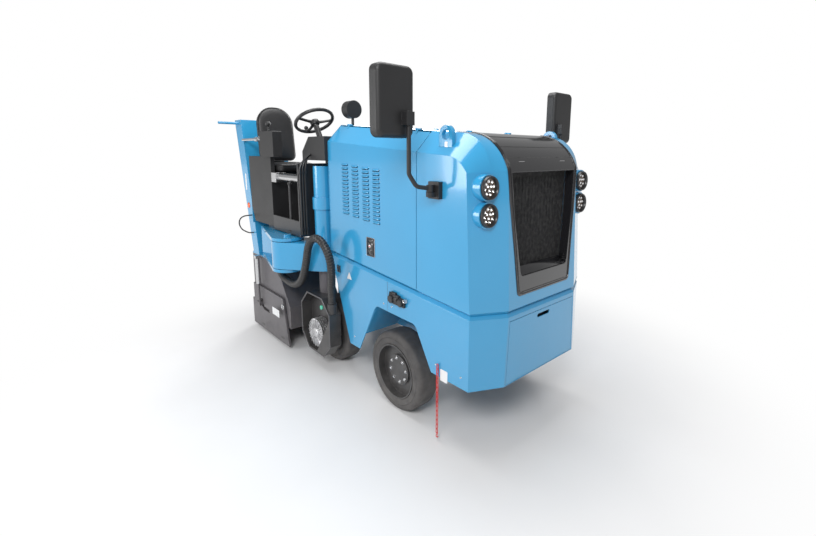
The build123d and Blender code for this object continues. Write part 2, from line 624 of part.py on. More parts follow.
for side, door_name in ((-1, "engine_door_right"), (1, "engine_door_left")):
    with BuildPart() as engine_door:
        with BuildSketch(Plane.YZ.offset(BODY_REAR_X + SEAM + SHEET)):
            door_x = BODY_REAR_X + SEAM + SHEET
            low_edge = (side * (HALF_WIDTH - BEVEL), belt_z(door_x) + SEAM)
            waist = (side * HALF_WIDTH, belt_z(door_x) + BEVEL + SEAM)
            shoulder = (side * HALF_WIDTH, shoulder_z(door_x))
            edge_in = HINGE_RADIUS + HINGE_MARGIN
            chamfer_fall = (TOP_REAR_Z - SHOULDER_REAR_Z) / (HALF_WIDTH - TOP_HALF)
            upper_edge = (side * (TOP_HALF + edge_in), top_z(door_x) - edge_in * chamfer_fall)
            with BuildLine():
                Polyline(
                    low_edge, waist, shoulder, upper_edge,
                    (upper_edge[0] - side * 3, upper_edge[1] - SHEET),
                    (shoulder[0] - side * SHEET, shoulder[1] - 3),
                    (waist[0] - side * SHEET, waist[1] + 2),
                    (low_edge[0] - side * SHEET, low_edge[1]),
                    close=True,
                )
            make_face()
        extrude(amount=(DOOR_FRONT_X - SEAM - door_x) * SLOPE_SCALE, dir=(1, 0, -FALL))
        with Locations(
            *[
                (column, side * HALF_WIDTH, shoulder_z(column) - LOUVRE_DROP - row * LOUVRE_PITCH)
                for column in LOUVRE_COLUMNS
                for row in range(LOUVRE_ROWS)
            ]
        ):
            Box(LOUVRE_SIZE[0], 3 * SHEET, LOUVRE_SIZE[1], mode=Mode.SUBTRACT)
        strap_z = -HINGE_RISE - HINGE_STRAP * chamfer_fall
        for hinge_x in hinge_places:
            with BuildSketch(hinge_location(hinge_x - HINGE_LENGTH / 6 + RUN, side)):
                Circle(HINGE_RADIUS)
                with BuildLine():
                    Polyline(
                        (0, HINGE_RADIUS), (side * HINGE_STRAP, strap_z + HINGE_MARGIN),
                        (side * HINGE_STRAP, strap_z - SHEET), (0, -HINGE_RADIUS), close=True,
                    )
                make_face()
            extrude(amount=HINGE_LENGTH / 3 - 2 * RUN)
            with BuildSketch(hinge_location(hinge_x - HINGE_LENGTH / 2, side)):
                Circle(HINGE_PIN_RADIUS + RUN)
            extrude(amount=HINGE_LENGTH, mode=Mode.SUBTRACT)
    engine_door.part.label = door_name
    export_step(engine_door.part, f"parts/{door_name}.step")

# ---- Chassis frame ----------------------------------------------------------------------------------------
CROSS_BEAMS = ((1640.0, 1700.0), (1150.0, 1210.0), (180.0, 240.0), (-560.0, -480.0))    # from x, to x
OUTRIGGERS = ((340.0, 400.0), (1590.0, 1640.0))
OUTRIGGER_Z = (560.0, 620.0)
POST_LOW = ((-560.0, -460.0, -1), (-1500.0, -1400.0, 1), (-700.0, -600.0, 1))           # from x, to x, side
DECK_POSTS = ((-1500.0, -500.0), (-1500.0, 235.0), (-640.0, 235.0))    # x and y of each foot
POST = 60.0
DECK_FRONT_POST_X = -90.0
LEFT_BRACKET_TOP_Z = 1195.0
LEFT_BRACKET_SPREAD = 20.0  # bracket beyond the left column's sleeve
SWING_SWEEP = 255.0         # clear radius in the carrier plate for the hose's end on the swing arm
LEFT_COLUMN_X = REAR_LEFT_X
LEFT_COLUMN_Y = REAR_LEFT_Y + COLUMN_OFFSET_Y
rail_in = RAIL_Y - RAIL_WIDTH / 2
rail_out = RAIL_Y + RAIL_WIDTH / 2
with BuildPart() as chassis_frame:
    box_between((RIGHT_RAIL_REAR_X, -rail_out, RAIL_LOW_Z), (RAIL_FRONT_X, -rail_in, RAIL_TOP_Z))
    box_between((LEFT_RAIL_REAR_X, rail_in, RAIL_LOW_Z), (RAIL_FRONT_X, rail_out, RAIL_TOP_Z))
    for beam_low, beam_high in CROSS_BEAMS:
        box_between((beam_low, -rail_in, RAIL_LOW_Z + 20), (beam_high, rail_in, RAIL_TOP_Z - 20))
    for beam_low, beam_high in OUTRIGGERS:
        for side in (-1, 1):
            reach = sorted((side * rail_out, side * (HALF_WIDTH - SHEET)))
            box_between((beam_low, reach[0], OUTRIGGER_Z[0]), (beam_high, reach[1], OUTRIGGER_Z[1]))
    for post_low, post_high, side in POST_LOW:
        reach = sorted((side * rail_in, side * rail_out))
        box_between((post_low, reach[0], RAIL_TOP_Z), (post_high, reach[1], CARRIER_LOW_Z))
    box_between(
        (HOUSING_REAR_X, HOUSING_RIGHT_Y, CARRIER_LOW_Z), (POST_LOW[0][1], rail_out, CARRIER_LOW_Z + CARRIER)
    )
    with BuildSketch(Plane.XY.offset(CARRIER_LOW_Z)):
        with Locations((PIVOT_X, PIVOT_Y)):
            Circle(SWING_SWEEP)
    extrude(amount=CARRIER, mode=Mode.SUBTRACT)
    for post_x, post_y in DECK_POSTS:
        box_between(
            (post_x, post_y - POST / 2, CARRIER_LOW_Z + CARRIER),
            (post_x + POST, post_y + POST / 2, DECK_Z - DECK),
        )
    for side in (-1, 1):
        box_between(
            (DECK_FRONT_POST_X, side * RAIL_Y - POST / 2, RAIL_TOP_Z),
            (DECK_FRONT_POST_X + POST, side * RAIL_Y + POST / 2, DECK_Z - DECK),
        )
    box_between(
        (LEFT_COLUMN_X - COLUMN_RADIUS - LEFT_BRACKET_SPREAD, rail_in, CARRIER_LOW_Z + CARRIER),
        (LEFT_COLUMN_X + COLUMN_RADIUS + LEFT_BRACKET_SPREAD, rail_out, LEFT_BRACKET_TOP_Z),
    )
chassis_frame.part.label = "chassis_frame"
export_step(chassis_frame.part, "parts/chassis_frame.step")

# ---- Front axle, knuckles with hub motors, tie rod ------------------------------------------------------
BEAM_HALF = 30.0
BEAM_Z = (270.0, 360.0)
WEB_Y = (330.0, 370.0)
EAR_Z = (210.0, 240.0, 395.0, 425.0)
EAR_RADIUS = 45.0
KINGPIN_PROUD = 5.0
TIE_PIN_PROUD = 3.0
KINGPIN_RADIUS = 18.0
KNUCKLE_RADIUS = 40.0
KNUCKLE_Z = (242.0, 393.0)
STUB_RADIUS = 60.0
HUB_MOTOR_Y = 470.0
ARM_LENGTH = 160.0
ARM_HALF = 18.0
STEER_ARM_Z = (250.0, 275.0)
TIE_PIN_RADIUS = 10.0
TIE_EYE_RADIUS = 22.0
TIE_EYE_Z = (222.0, 249.5)
TIE_ROD_RADIUS = 14.0
TIE_X = FRONT_WHEEL_X - ARM_LENGTH
axle_low_x = FRONT_WHEEL_X - BEAM_HALF
axle_high_x = FRONT_WHEEL_X + BEAM_HALF
with BuildPart() as front_axle:
    box_between((axle_low_x, -WEB_Y[1], BEAM_Z[0]), (axle_high_x, WEB_Y[1], BEAM_Z[1]))
    for side in (-1, 1):
        reach = sorted((side * WEB_Y[0], side * WEB_Y[1]))
        box_between((axle_low_x, reach[0], EAR_Z[0]), (axle_high_x, reach[1], EAR_Z[3]))
        box_between(
            (axle_low_x, side * RAIL_Y - RAIL_WIDTH / 2, BEAM_Z[1]),
            (axle_high_x, side * RAIL_Y + RAIL_WIDTH / 2, RAIL_LOW_Z),
        )
        for ear_low, ear_high in (EAR_Z[:2], EAR_Z[2:]):
            with BuildSketch(Plane.XY.offset(ear_low)):
                with Locations((FRONT_WHEEL_X, side * KINGPIN_Y)):
                    Circle(EAR_RADIUS)
                with Locations((FRONT_WHEEL_X, side * (WEB_Y[1] + KINGPIN_Y) / 2)):
                    Rectangle(2 * BEAM_HALF, KINGPIN_Y - WEB_Y[1])
                with Locations((FRONT_WHEEL_X, side * KINGPIN_Y)):
                    Circle(KINGPIN_RADIUS + SEAT, mode=Mode.SUBTRACT)
            extrude(amount=ear_high - ear_low)
front_axle.part.label = "front_axle"
export_step(front_axle.part, "parts/front_axle.step")

FRONT_DISC_INNER_Y = FRONT_WHEEL_Y + TYRE_WIDTH / 2 - RIM_DISC_INSET - RIM_DISC
for side, knuckle_name in ((-1, "knuckle_right"), (1, "knuckle_left")):
    with BuildPart() as knuckle:
        for radius, low_z, high_z in (
            (KNUCKLE_RADIUS, KNUCKLE_Z[0], KNUCKLE_Z[1]),
            (KINGPIN_RADIUS, EAR_Z[0] - KINGPIN_PROUD, EAR_Z[3] + KINGPIN_PROUD),
        ):
            with BuildSketch(Plane.XY.offset(low_z)):
                with Locations((FRONT_WHEEL_X, side * KINGPIN_Y)):
                    Circle(radius)
            extrude(amount=high_z - low_z)
        for radius, near_y, far_y in (
            (STUB_RADIUS, KINGPIN_Y, HUB_MOTOR_Y),
            (MOTOR_RADIUS, HUB_MOTOR_Y, FRONT_DISC_INNER_Y - RUN),
        ):
            with BuildSketch(Plane.XZ.offset(-side * near_y)):
                with Locations((FRONT_WHEEL_X, TYRE_RADIUS)):
                    Circle(radius)
            extrude(amount=-side * (far_y - near_y))
        box_between(
            (TIE_X, side * KINGPIN_Y - ARM_HALF, STEER_ARM_Z[0]),
            (FRONT_WHEEL_X, side * KINGPIN_Y + ARM_HALF, STEER_ARM_Z[1]),
        )
        with BuildSketch(Plane.XY.offset(STEER_ARM_Z[0])):
            with Locations((TIE_X, side * KINGPIN_Y)):
                Circle(TIE_EYE_RADIUS)
        extrude(amount=STEER_ARM_Z[1] - STEER_ARM_Z[0])
        with Locations((TIE_X, side * KINGPIN_Y, (STEER_ARM_Z[0] + STEER_ARM_Z[1]) / 2)):
            Cylinder(TIE_PIN_RADIUS + SEAT, 2 * TIE_EYE_RADIUS, mode=Mode.SUBTRACT)
    knuckle.part.label = knuckle_name
    export_step(knuckle.part, f"parts/{knuckle_name}.step")

with BuildPart() as tie_rod:
    for side in (-1, 1):
        for radius, low_z, high_z in (
            (TIE_EYE_RADIUS, TIE_EYE_Z[0], TIE_EYE_Z[1]),
            (TIE_PIN_RADIUS, TIE_EYE_Z[0], STEER_ARM_Z[1] + TIE_PIN_PROUD),
        ):
            with BuildSketch(Plane.XY.offset(low_z)):
                with Locations((TIE_X, side * KINGPIN_Y)):
                    Circle(radius)
            extrude(amount=high_z - low_z)
    with Locations((TIE_X, 0, (TIE_EYE_Z[0] + TIE_EYE_Z[1]) / 2)):
        Cylinder(TIE_ROD_RADIUS, 2 * KINGPIN_Y, rotation=(90, 0, 0))
tie_rod.part.label = "tie_rod"
export_step(tie_rod.part, "parts/tie_rod.step")

# ---- Wheels -----------------------------------------------------------------------------------------------
# name, x, y, side that the rim's outer face points to
WHEELS = (
    ("front_right", FRONT_WHEEL_X, -FRONT_WHEEL_Y, -1),
    ("front_left", FRONT_WHEEL_X, FRONT_WHEEL_Y, 1),
    ("rear_right", REAR_RIGHT_X, REAR_RIGHT_Y, 1),
    ("rear_left", REAR_LEFT_X, REAR_LEFT_Y, 1),
)
TYRE_SHOULDER = 20.0
TYRE_CROWN_INSET = 15.0
BEAD_INSET = 5.0
half_tread = TYRE_WIDTH / 2
disc_out = half_tread - RIM_DISC_INSET
disc_in = disc_out - RIM_DISC
# radius from the axle, distance outwards from the middle of the tyre
RIM_PROFILE = (
    (0, disc_in), (RIM_RADIUS - RIM_WALL, disc_in), (RIM_RADIUS - RIM_WALL, -half_tread),
    (RIM_RADIUS, -half_tread), (RIM_RADIUS, half_tread), (RIM_RADIUS - RIM_WALL, half_tread),
    (RIM_RADIUS - RIM_WALL, disc_out), (HUB_PLATE_RADIUS, disc_out),
    (HUB_PLATE_RADIUS, disc_out + HUB_PLATE), (0, disc_out + HUB_PLATE),
)
TYRE_PROFILE = (
    (RIM_RADIUS + SEAT, -half_tread + BEAD_INSET), (RIM_RADIUS + SEAT, half_tread - BEAD_INSET),
    (RIM_RADIUS + TYRE_SHOULDER, half_tread), (TYRE_RADIUS - TYRE_SHOULDER, half_tread),
    (TYRE_RADIUS, half_tread - TYRE_CROWN_INSET), (TYRE_RADIUS, -half_tread + TYRE_CROWN_INSET),
    (TYRE_RADIUS - TYRE_SHOULDER, -half_tread), (RIM_RADIUS + TYRE_SHOULDER, -half_tread),
)
for wheel_name, wheel_x, wheel_y, side in WHEELS:
    axle = Axis((wheel_x, wheel_y, TYRE_RADIUS), (0, 1, 0))
    for ring_name, profile in (("rim", RIM_PROFILE), ("tyre", TYRE_PROFILE)):
        with BuildPart() as ring:
            with BuildSketch(Plane(origin=(wheel_x, wheel_y, TYRE_RADIUS), x_dir=(1, 0, 0), z_dir=(0, 0, 1))):
                with BuildLine():
                    Polyline(*[(radius, side * out) for radius, out in profile], close=True)
                make_face()
            revolve(axis=axle)
        ring.part.label = f"{ring_name}_{wheel_name}"
        export_step(ring.part, f"parts/{ring_name}_{wheel_name}.step")

# ---- Swing gear and lifting columns of the rear wheels ---------------------------------------------------
HUB_RADIUS = 150.0
ARM_END_RADIUS = 130.0
PIN_RADIUS = 35.0
BRACKET_Z = (890.0, 920.0, 1185.0, 1215.0)
BRACKET_X = (-1230.0, -780.0)
BRACKET_Y = (-800.0, -600.0)
SLEEVE_CAP = 15.0
COLLAR_Z = (1490.0, 1600.0)
COLLAR_RADIUS = 98.0
LEG_LOW_Z = 645.0
LEG_TOP_Z = 1600.0
LEG_PLATE_Y = (-35.0, 10.0)          # carrier plate from the leg's axis
LEG_PLATE_X = 140.0
LEG_PLATE_Z = (200.0, 700.0)
column_x = REAR_RIGHT_X
column_y = REAR_RIGHT_Y + COLUMN_OFFSET_Y
HOSE_RADIUS = 35.0
HOSE_TAB_Z = (868.0, 885.0)
HOSE_TAB_RADIUS = 30.0
PIVOT_PIN_PROUD = 15.0
LEG_PLATE_CHAMFER = 60.0
HOSE_START = (-690.0, -842.0)
HOSE_SOCKET = (105.0, -717.0, 668.0)

with BuildPart() as swing_bracket:
    box_between(
        (BRACKET_X[0], BRACKET_Y[0], CARRIER_LOW_Z + CARRIER), (BRACKET_X[1], BRACKET_Y[1], BRACKET_Z[3])
    )
    for plate_low, plate_high in (BRACKET_Z[:2], BRACKET_Z[2:]):
        with BuildSketch(Plane.XY.offset(plate_low)):
            with Locations((PIVOT_X, PIVOT_Y)):
                Circle(HUB_RADIUS)
            with Locations(((BRACKET_X[0] + BRACKET_X[1]) / 2, (BRACKET_Y[0] + BRACKET_Y[1]) / 2)):
                Rectangle(BRACKET_X[1] - BRACKET_X[0], BRACKET_Y[1] - BRACKET_Y[0])
            make_hull()
            with Locations((PIVOT_X, PIVOT_Y)):
                Circle(PIN_RADIUS + RUN, mode=Mode.SUBTRACT)
        extrude(amount=plate_high - plate_low)
swing_bracket.part.label = "swing_bracket"
export_step(swing_bracket.part, "parts/swing_bracket.step")

with BuildPart() as swing_arm:
    with BuildSketch(Plane.XY.offset(ARM_LOW_Z)):
        with Locations((PIVOT_X, PIVOT_Y)):
            Circle(HUB_RADIUS)
        with Locations((column_x, column_y)):
            Circle(ARM_END_RADIUS)
        make_hull()
    extrude(amount=ARM_TOP_Z - ARM_LOW_Z)
    for radius, low_z, high_z in (
        (COLUMN_RADIUS, ARM_TOP_Z, SLEEVE_TOP_Z), (COLLAR_RADIUS, COLLAR_Z[0], COLLAR_Z[1]),
    ):
        with BuildSketch(Plane.XY.offset(low_z)):
            with Locations((column_x, column_y)):
                Circle(radius)
        extrude(amount=high_z - low_z)
    with BuildSketch(Plane.XY.offset(HOSE_TAB_Z[0])):
        with Locations((PIVOT_X, PIVOT_Y)):
            Circle(PIN_RADIUS)
    extrude(amount=BRACKET_Z[3] + PIVOT_PIN_PROUD - HOSE_TAB_Z[0])
    with BuildSketch(Plane.XY.offset(HOSE_TAB_Z[0])):
        with Locations((PIVOT_X, PIVOT_Y)):
            Circle(PIN_RADIUS)
        with Locations(HOSE_START):
            Circle(HOSE_TAB_RADIUS)
        make_hull()
    extrude(amount=HOSE_TAB_Z[1] - HOSE_TAB_Z[0])
    with BuildSketch(Plane.XY.offset(ARM_LOW_Z)):
        with Locations((column_x, column_y)):
            Circle(LEG_RADIUS + RUN)
    extrude(amount=SLEEVE_TOP_Z - SLEEVE_CAP - ARM_LOW_Z, mode=Mode.SUBTRACT)
swing_arm.part.label = "swing_arm"
export_step(swing_arm.part, "parts/swing_arm.step")

LEFT_SLEEVE_LOW_Z = 900.0
LEFT_SLEEVE_TOP_Z = 1815.0
LEFT_PLATE = 16.0
LEFT_LUG_Z = ((925.0, 950.0), (1150.0, 1175.0))
left_plate_y = RAIL_Y + RAIL_WIDTH / 2
with BuildPart() as lift_sleeve_left:
    with BuildSketch(Plane.XY.offset(LEFT_SLEEVE_LOW_Z)):
        with Locations((LEFT_COLUMN_X, LEFT_COLUMN_Y)):
            Circle(COLUMN_RADIUS)
    extrude(amount=LEFT_SLEEVE_TOP_Z - LEFT_SLEEVE_LOW_Z)
    for lug_low, lug_high in LEFT_LUG_Z:
        box_between(
            (LEFT_COLUMN_X - COLUMN_RADIUS, left_plate_y, lug_low),
            (LEFT_COLUMN_X + COLUMN_RADIUS, LEFT_COLUMN_Y, lug_high),
        )
    box_between(
        (LEFT_COLUMN_X - COLUMN_RADIUS - LEFT_BRACKET_SPREAD, left_plate_y, LEFT_SLEEVE_LOW_Z),
        (LEFT_COLUMN_X + COLUMN_RADIUS + LEFT_BRACKET_SPREAD, left_plate_y + LEFT_PLATE, LEFT_BRACKET_TOP_Z),
    )
    with BuildSketch(Plane.XY.offset(LEFT_SLEEVE_LOW_Z)):
        with Locations((LEFT_COLUMN_X, LEFT_COLUMN_Y)):
            Circle(LEG_RADIUS + RUN)
    extrude(amount=LEFT_SLEEVE_TOP_Z - SLEEVE_CAP - LEFT_SLEEVE_LOW_Z, mode=Mode.SUBTRACT)
lift_sleeve_left.part.label = "lift_sleeve_left"
export_step(lift_sleeve_left.part, "parts/lift_sleeve_left.step")

for leg_name, leg_x, leg_y in (
    ("lift_leg_right", column_x, column_y), ("lift_leg_left", LEFT_COLUMN_X, LEFT_COLUMN_Y),
):
    with BuildPart() as leg:
        with BuildSketch(Plane.XY.offset(LEG_LOW_Z)):
            with Locations((leg_x, leg_y)):
                Circle(LEG_RADIUS)
        extrude(amount=LEG_TOP_Z - LEG_LOW_Z)
        with BuildSketch(Plane.XZ.offset(-(leg_y + LEG_PLATE_Y[0]))):
            with Locations((leg_x, (LEG_PLATE_Z[0] + LEG_PLATE_Z[1]) / 2)):
                Rectangle(2 * LEG_PLATE_X, LEG_PLATE_Z[1] - LEG_PLATE_Z[0])
            chamfer(vertices(), LEG_PLATE_CHAMFER)
        extrude(amount=-(LEG_PLATE_Y[1] - LEG_PLATE_Y[0]))
    leg.part.label = leg_name
    export_step(leg.part, f"parts/{leg_name}.step")

MOTOR_FINS = 5
FIN_RADIUS = 135.0
FIN_PITCH = 19.0
FIN = 9.0
# name, x, y of the carrier plate, number of fins outside the plate
MOTORS = (
    ("drive_motor_right", column_x, column_y, MOTOR_FINS),
    ("drive_motor_left", LEFT_COLUMN_X, LEFT_COLUMN_Y, 2),
)
for motor_name, motor_x, plate_y, outer_fins in MOTORS:
    with BuildPart() as motor:
        face_y = plate_y + LEG_PLATE_Y[0]
        hub_y = plate_y - COLUMN_OFFSET_Y + disc_in - RUN
        for radius, from_y, to_y in (
            (MOTOR_RADIUS, plate_y + LEG_PLATE_Y[1], hub_y),
            (MOTOR_RADIUS, face_y - outer_fins * FIN_PITCH, face_y),
        ):
            with BuildSketch(Plane.XZ.offset(-from_y)):
                with Locations((motor_x, TYRE_RADIUS)):
                    Circle(radius)
            extrude(amount=-(to_y - from_y))
        for fin in range(outer_fins):
            with BuildSketch(Plane.XZ.offset(-(face_y - (fin + 1) * FIN_PITCH))):
                with Locations((motor_x, TYRE_RADIUS)):
                    Circle(FIN_RADIUS)
            extrude(amount=-FIN)
    motor.part.label = motor_name
    export_step(motor.part, f"parts/{motor_name}.step")

GUARD_X = (-400.0, 140.0)
GUARD_Z = (140.0, 700.0)
GUARD_Y = (-770.0, -655.0)
GUARD_CORNER = 130.0
GUARD_SHEET = 12.0
GUARD_WINDOW = 150.0
GUARD_APRON_RISE = 40.0     # the front apron's corners, from the corners of the guard and its middle
GUARD_APRON_INSET = 2.0
SOCKET_WALL = 8.0
SOCKET_DEPTH = 90.0
guard_mid_x = (GUARD_X[0] + GUARD_X[1]) / 2
guard_mid_z = (GUARD_Z[0] + GUARD_Z[1]) / 2
guard_width = GUARD_X[1] - GUARD_X[0]
guard_height = GUARD_Z[1] - GUARD_Z[0]
with BuildPart() as motor_guard:
    with BuildSketch(Plane.XZ.offset(-GUARD_Y[0])):
        with Locations((guard_mid_x, guard_mid_z)):
            Rectangle(guard_width, guard_height)
        chamfer(vertices(), GUARD_CORNER)
    extrude(amount=-(GUARD_Y[1] - GUARD_Y[0]))
    with BuildSketch(Plane.XZ.offset(-GUARD_Y[0])):
        with Locations((guard_mid_x, guard_mid_z)):
            Rectangle(guard_width - 2 * GUARD_SHEET, guard_height - 2 * GUARD_SHEET)
        chamfer(vertices(), GUARD_CORNER - GUARD_SHEET / 2)
    extrude(amount=-(GUARD_Y[1] - GUARD_Y[0] - GUARD_SHEET), mode=Mode.SUBTRACT)
    with BuildSketch(Plane.XZ.offset(-GUARD_Y[1])):
        with Locations((column_x, TYRE_RADIUS)):
            Circle(GUARD_WINDOW)
    extrude(amount=GUARD_SHEET * 2, both=True, mode=Mode.SUBTRACT)
    with BuildSketch(Plane.XZ.offset(-GUARD_Y[0])):
        with BuildLine():
            apron_x = GUARD_X[1] - GUARD_APRON_INSET
            apron_z = GUARD_Z[0] + GUARD_APRON_INSET
            Polyline(
                (apron_x, GUARD_Z[1] - GUARD_CORNER - GUARD_APRON_RISE), (apron_x, GUARD_Z[0] + GUARD_CORNER),
                (GUARD_X[1] - GUARD_CORNER, apron_z), (column_x + GUARD_APRON_RISE, apron_z), close=True,
            )
        make_face()
    extrude(amount=-GUARD_SHEET)
    with BuildSketch(Plane.XY.offset(HOSE_SOCKET[2])):
        with Locations(HOSE_SOCKET[:2]):
            Circle(HOSE_RADIUS + SOCKET_WALL)
    extrude(amount=-SOCKET_DEPTH)
    with BuildSketch(Plane.XY.offset(LEG_LOW_Z - RUN)):
        with Locations((column_x, column_y)):
            Circle(LEG_RADIUS + RUN)
    extrude(amount=GUARD_Z[1] - LEG_LOW_Z + 2 * RUN, mode=Mode.SUBTRACT)
motor_guard.part.label = "motor_guard"
export_step(motor_guard.part, "parts/motor_guard.step")


CORD_ARC_SHARE = 0.45       # how much of its shorter run an arc uses up


def cord_wire(points):
    """Path of a cord: straight runs joined by arcs as large as the shorter of their two runs allows."""
    places = [Vector(*point) for point in points]
    radii = []
    for before, corner, after in zip(places, places[1:], places[2:]):
        turn = radians((corner - before).get_angle(after - corner))
        run = min((corner - before).length, (after - corner).length)
        radii.append(CORD_ARC_SHARE * run / tan(turn / 2))
    with BuildLine() as path:
        FilletPolyline(*points, radius=radii)
    return path.line


def cord_tube(points, radius):
    """Round tube along a cord's route."""
    path = cord_wire(points)
    with BuildPart() as tube:
        with BuildSketch(Plane(origin=points[0], z_dir=path % 0)):
            Circle(radius)
        sweep(path=path)
    return tube.part


HOSE_ROUTE = (
    (HOSE_START[0], HOSE_START[1], HOSE_TAB_Z[0]), (HOSE_START[0], HOSE_START[1], 822),
    (-645, -842, 786), (-560, -842, 768), (-460, -842, 756), (-354, -842, 762), (-250, -842, 808),
    (-180, -842, 885), (-128, -842, 980), (-90, -842, 1080), (-62, -842, 1172), (-4, -840, 1250),
    (80, -832, 1282), (158, -815, 1250), (212, -800, 1172), (234, -788, 1080), (222, -776, 985),
    (190, -762, 890), (148, -742, 805),
    (HOSE_SOCKET[0], HOSE_SOCKET[1], 740), (HOSE_SOCKET[0], HOSE_SOCKET[1], HOSE_SOCKET[2]),
)
with BuildPart() as hose_bundle:
    add(cord_tube(HOSE_ROUTE, HOSE_RADIUS))
hose_bundle.part.label = "hose_bundle"
export_step(hose_bundle.part, "parts/hose_bundle.step")

# ---- Milling gear: housing, drum with picks, side plates, scraper ---------------------------------------
HOUSING_LOW_Z = 220.0
HOUSING_SHOULDER_X = -900.0
HOUSING_NOSE_Z = 450.0
DRUM_Z = CUT_LOW_Z + CUT_RADIUS
DRUM_RIGHT_Y = DRUM_Y - DRUM_WIDTH / 2
DRUM_LEFT_Y = DRUM_Y + DRUM_WIDTH / 2
DRUM_WALL = 14.0
DRUM_DISC = 30.0
BOSS_RADIUS = 120.0
STUB_SHAFT_RADIUS = 60.0
PICKS = 52
PICK_TURNS = 2.5
PICK_BASE = (46.0, 40.0)
PICK_TIP = 12.0
PICK_ROOT = 6.0
PICK_MARGIN = 25.0          # first and last pick from the drum's ends
BOSS_GAP = 3.0
WEAR_STRIP = 4.7
BOSS_FACE_Y = DRUM_LEFT_Y + BOSS_GAP
housing_outline = (
    (HOUSING_REAR_X, HOUSING_LOW_Z), (HOUSING_REAR_X, HOUSING_TOP_Z), (HOUSING_SHOULDER_X, HOUSING_TOP_Z),
    (HOUSING_FRONT_X, HOUSING_NOSE_Z), (HOUSING_FRONT_X, HOUSING_LOW_Z),
)
SCRAPER_HINGE = (-1545.0, 500.0)
SCRAPER_PIN_RADIUS = 6.0
SCRAPER_BARREL_RADIUS = 12.0
SCRAPER_BARRELS_Y = (-700.0, -340.0)
SCRAPER_BARREL = 80.0
SCRAPER_SHEET = 14.0
SCRAPER_LOW_Z = 50.0
SCRAPER_NECK = 28.0         # from the hinge axis down to the blade, clear of the lugs in any position
SCRAPER_LUG = (14.0, 6.0)   # reach from the axis, half thickness
SCRAPER_LUG_GAP = 2.0
WEAR_STRIPS_X = (-1450.0, -760.0)
WEAR_STRIP_WIDTH = 50.0
HOUSING_FLOOR = 20.0        # what is left of the housing's ends under the wear strips
with BuildPart() as drum_housing:
    with BuildSketch(Plane.XZ.offset(-HOUSING_RIGHT_Y)):
        with BuildLine():
            Polyline(*housing_outline, close=True)
        make_face()
    extrude(amount=-(HOUSING_LEFT_Y - HOUSING_RIGHT_Y))
    with BuildSketch(Plane.XZ.offset(-(HOUSING_RIGHT_Y + HOUSING_SHEET))):
        with BuildLine():
            Polyline(*housing_outline, close=True)
        make_face()
        offset(amount=-HOUSING_SHEET, kind=Kind.INTERSECTION, mode=Mode.REPLACE)
    extrude(amount=-(HOUSING_LEFT_Y - HOUSING_RIGHT_Y - 2 * HOUSING_SHEET), mode=Mode.SUBTRACT)
    cut_between(
        (HOUSING_REAR_X + HOUSING_SHEET, HOUSING_RIGHT_Y + HOUSING_SHEET, HOUSING_LOW_Z - 1),
        (HOUSING_FRONT_X - HOUSING_SHEET, HOUSING_LEFT_Y - HOUSING_SHEET, HOUSING_LOW_Z + 2 * HOUSING_SHEET),
    )
    for radius, from_y, to_y in (
        (BOSS_RADIUS, BOSS_FACE_Y, HOUSING_LEFT_Y),
        (STUB_SHAFT_RADIUS, DRUM_LEFT_Y - 2 * DRUM_DISC, HOUSING_LEFT_Y),
    ):
        with BuildSketch(Plane.XZ.offset(-from_y)):
            with Locations((DRUM_X, DRUM_Z)):
                Circle(radius)
        extrude(amount=-(to_y - from_y))
    for strip_x in WEAR_STRIPS_X:
        box_between(
            (strip_x, HOUSING_RIGHT_Y - WEAR_STRIP, HOUSING_LOW_Z + HOUSING_FLOOR),
            (strip_x + WEAR_STRIP_WIDTH, HOUSING_RIGHT_Y, HOUSING_NOSE_Z),
        )
    hinge_x, hinge_z = SCRAPER_HINGE
    lug_reach, lug_half = SCRAPER_LUG
    for barrel_y in SCRAPER_BARRELS_Y:
        lug_out = SCRAPER_BARREL / 2 + SCRAPER_LUG_GAP + lug_half
        for end in (-1, 1):
            lug_y = barrel_y + end * lug_out
            box_between(
                (hinge_x - lug_reach, lug_y - lug_half, hinge_z - lug_reach),
                (HOUSING_REAR_X, lug_y + lug_half, hinge_z + lug_reach),
            )
        with BuildSketch(Plane.XZ.offset(-(barrel_y - lug_out))):
            with Locations(SCRAPER_HINGE):
                Circle(SCRAPER_PIN_RADIUS)
        extrude(amount=-2 * lug_out)
drum_housing.part.label = "drum_housing"
export_step(drum_housing.part, "parts/drum_housing.step")

with BuildPart() as pick:
    with BuildSketch(Plane.XY):
        Rectangle(*PICK_BASE)
    with BuildSketch(Plane.XY.offset(CUT_RADIUS - DRUM_TUBE_RADIUS + PICK_ROOT)):
        with Locations((PICK_BASE[0] / 2 - PICK_TIP, 0)):
            Rectangle(PICK_TIP, PICK_TIP)
    loft()

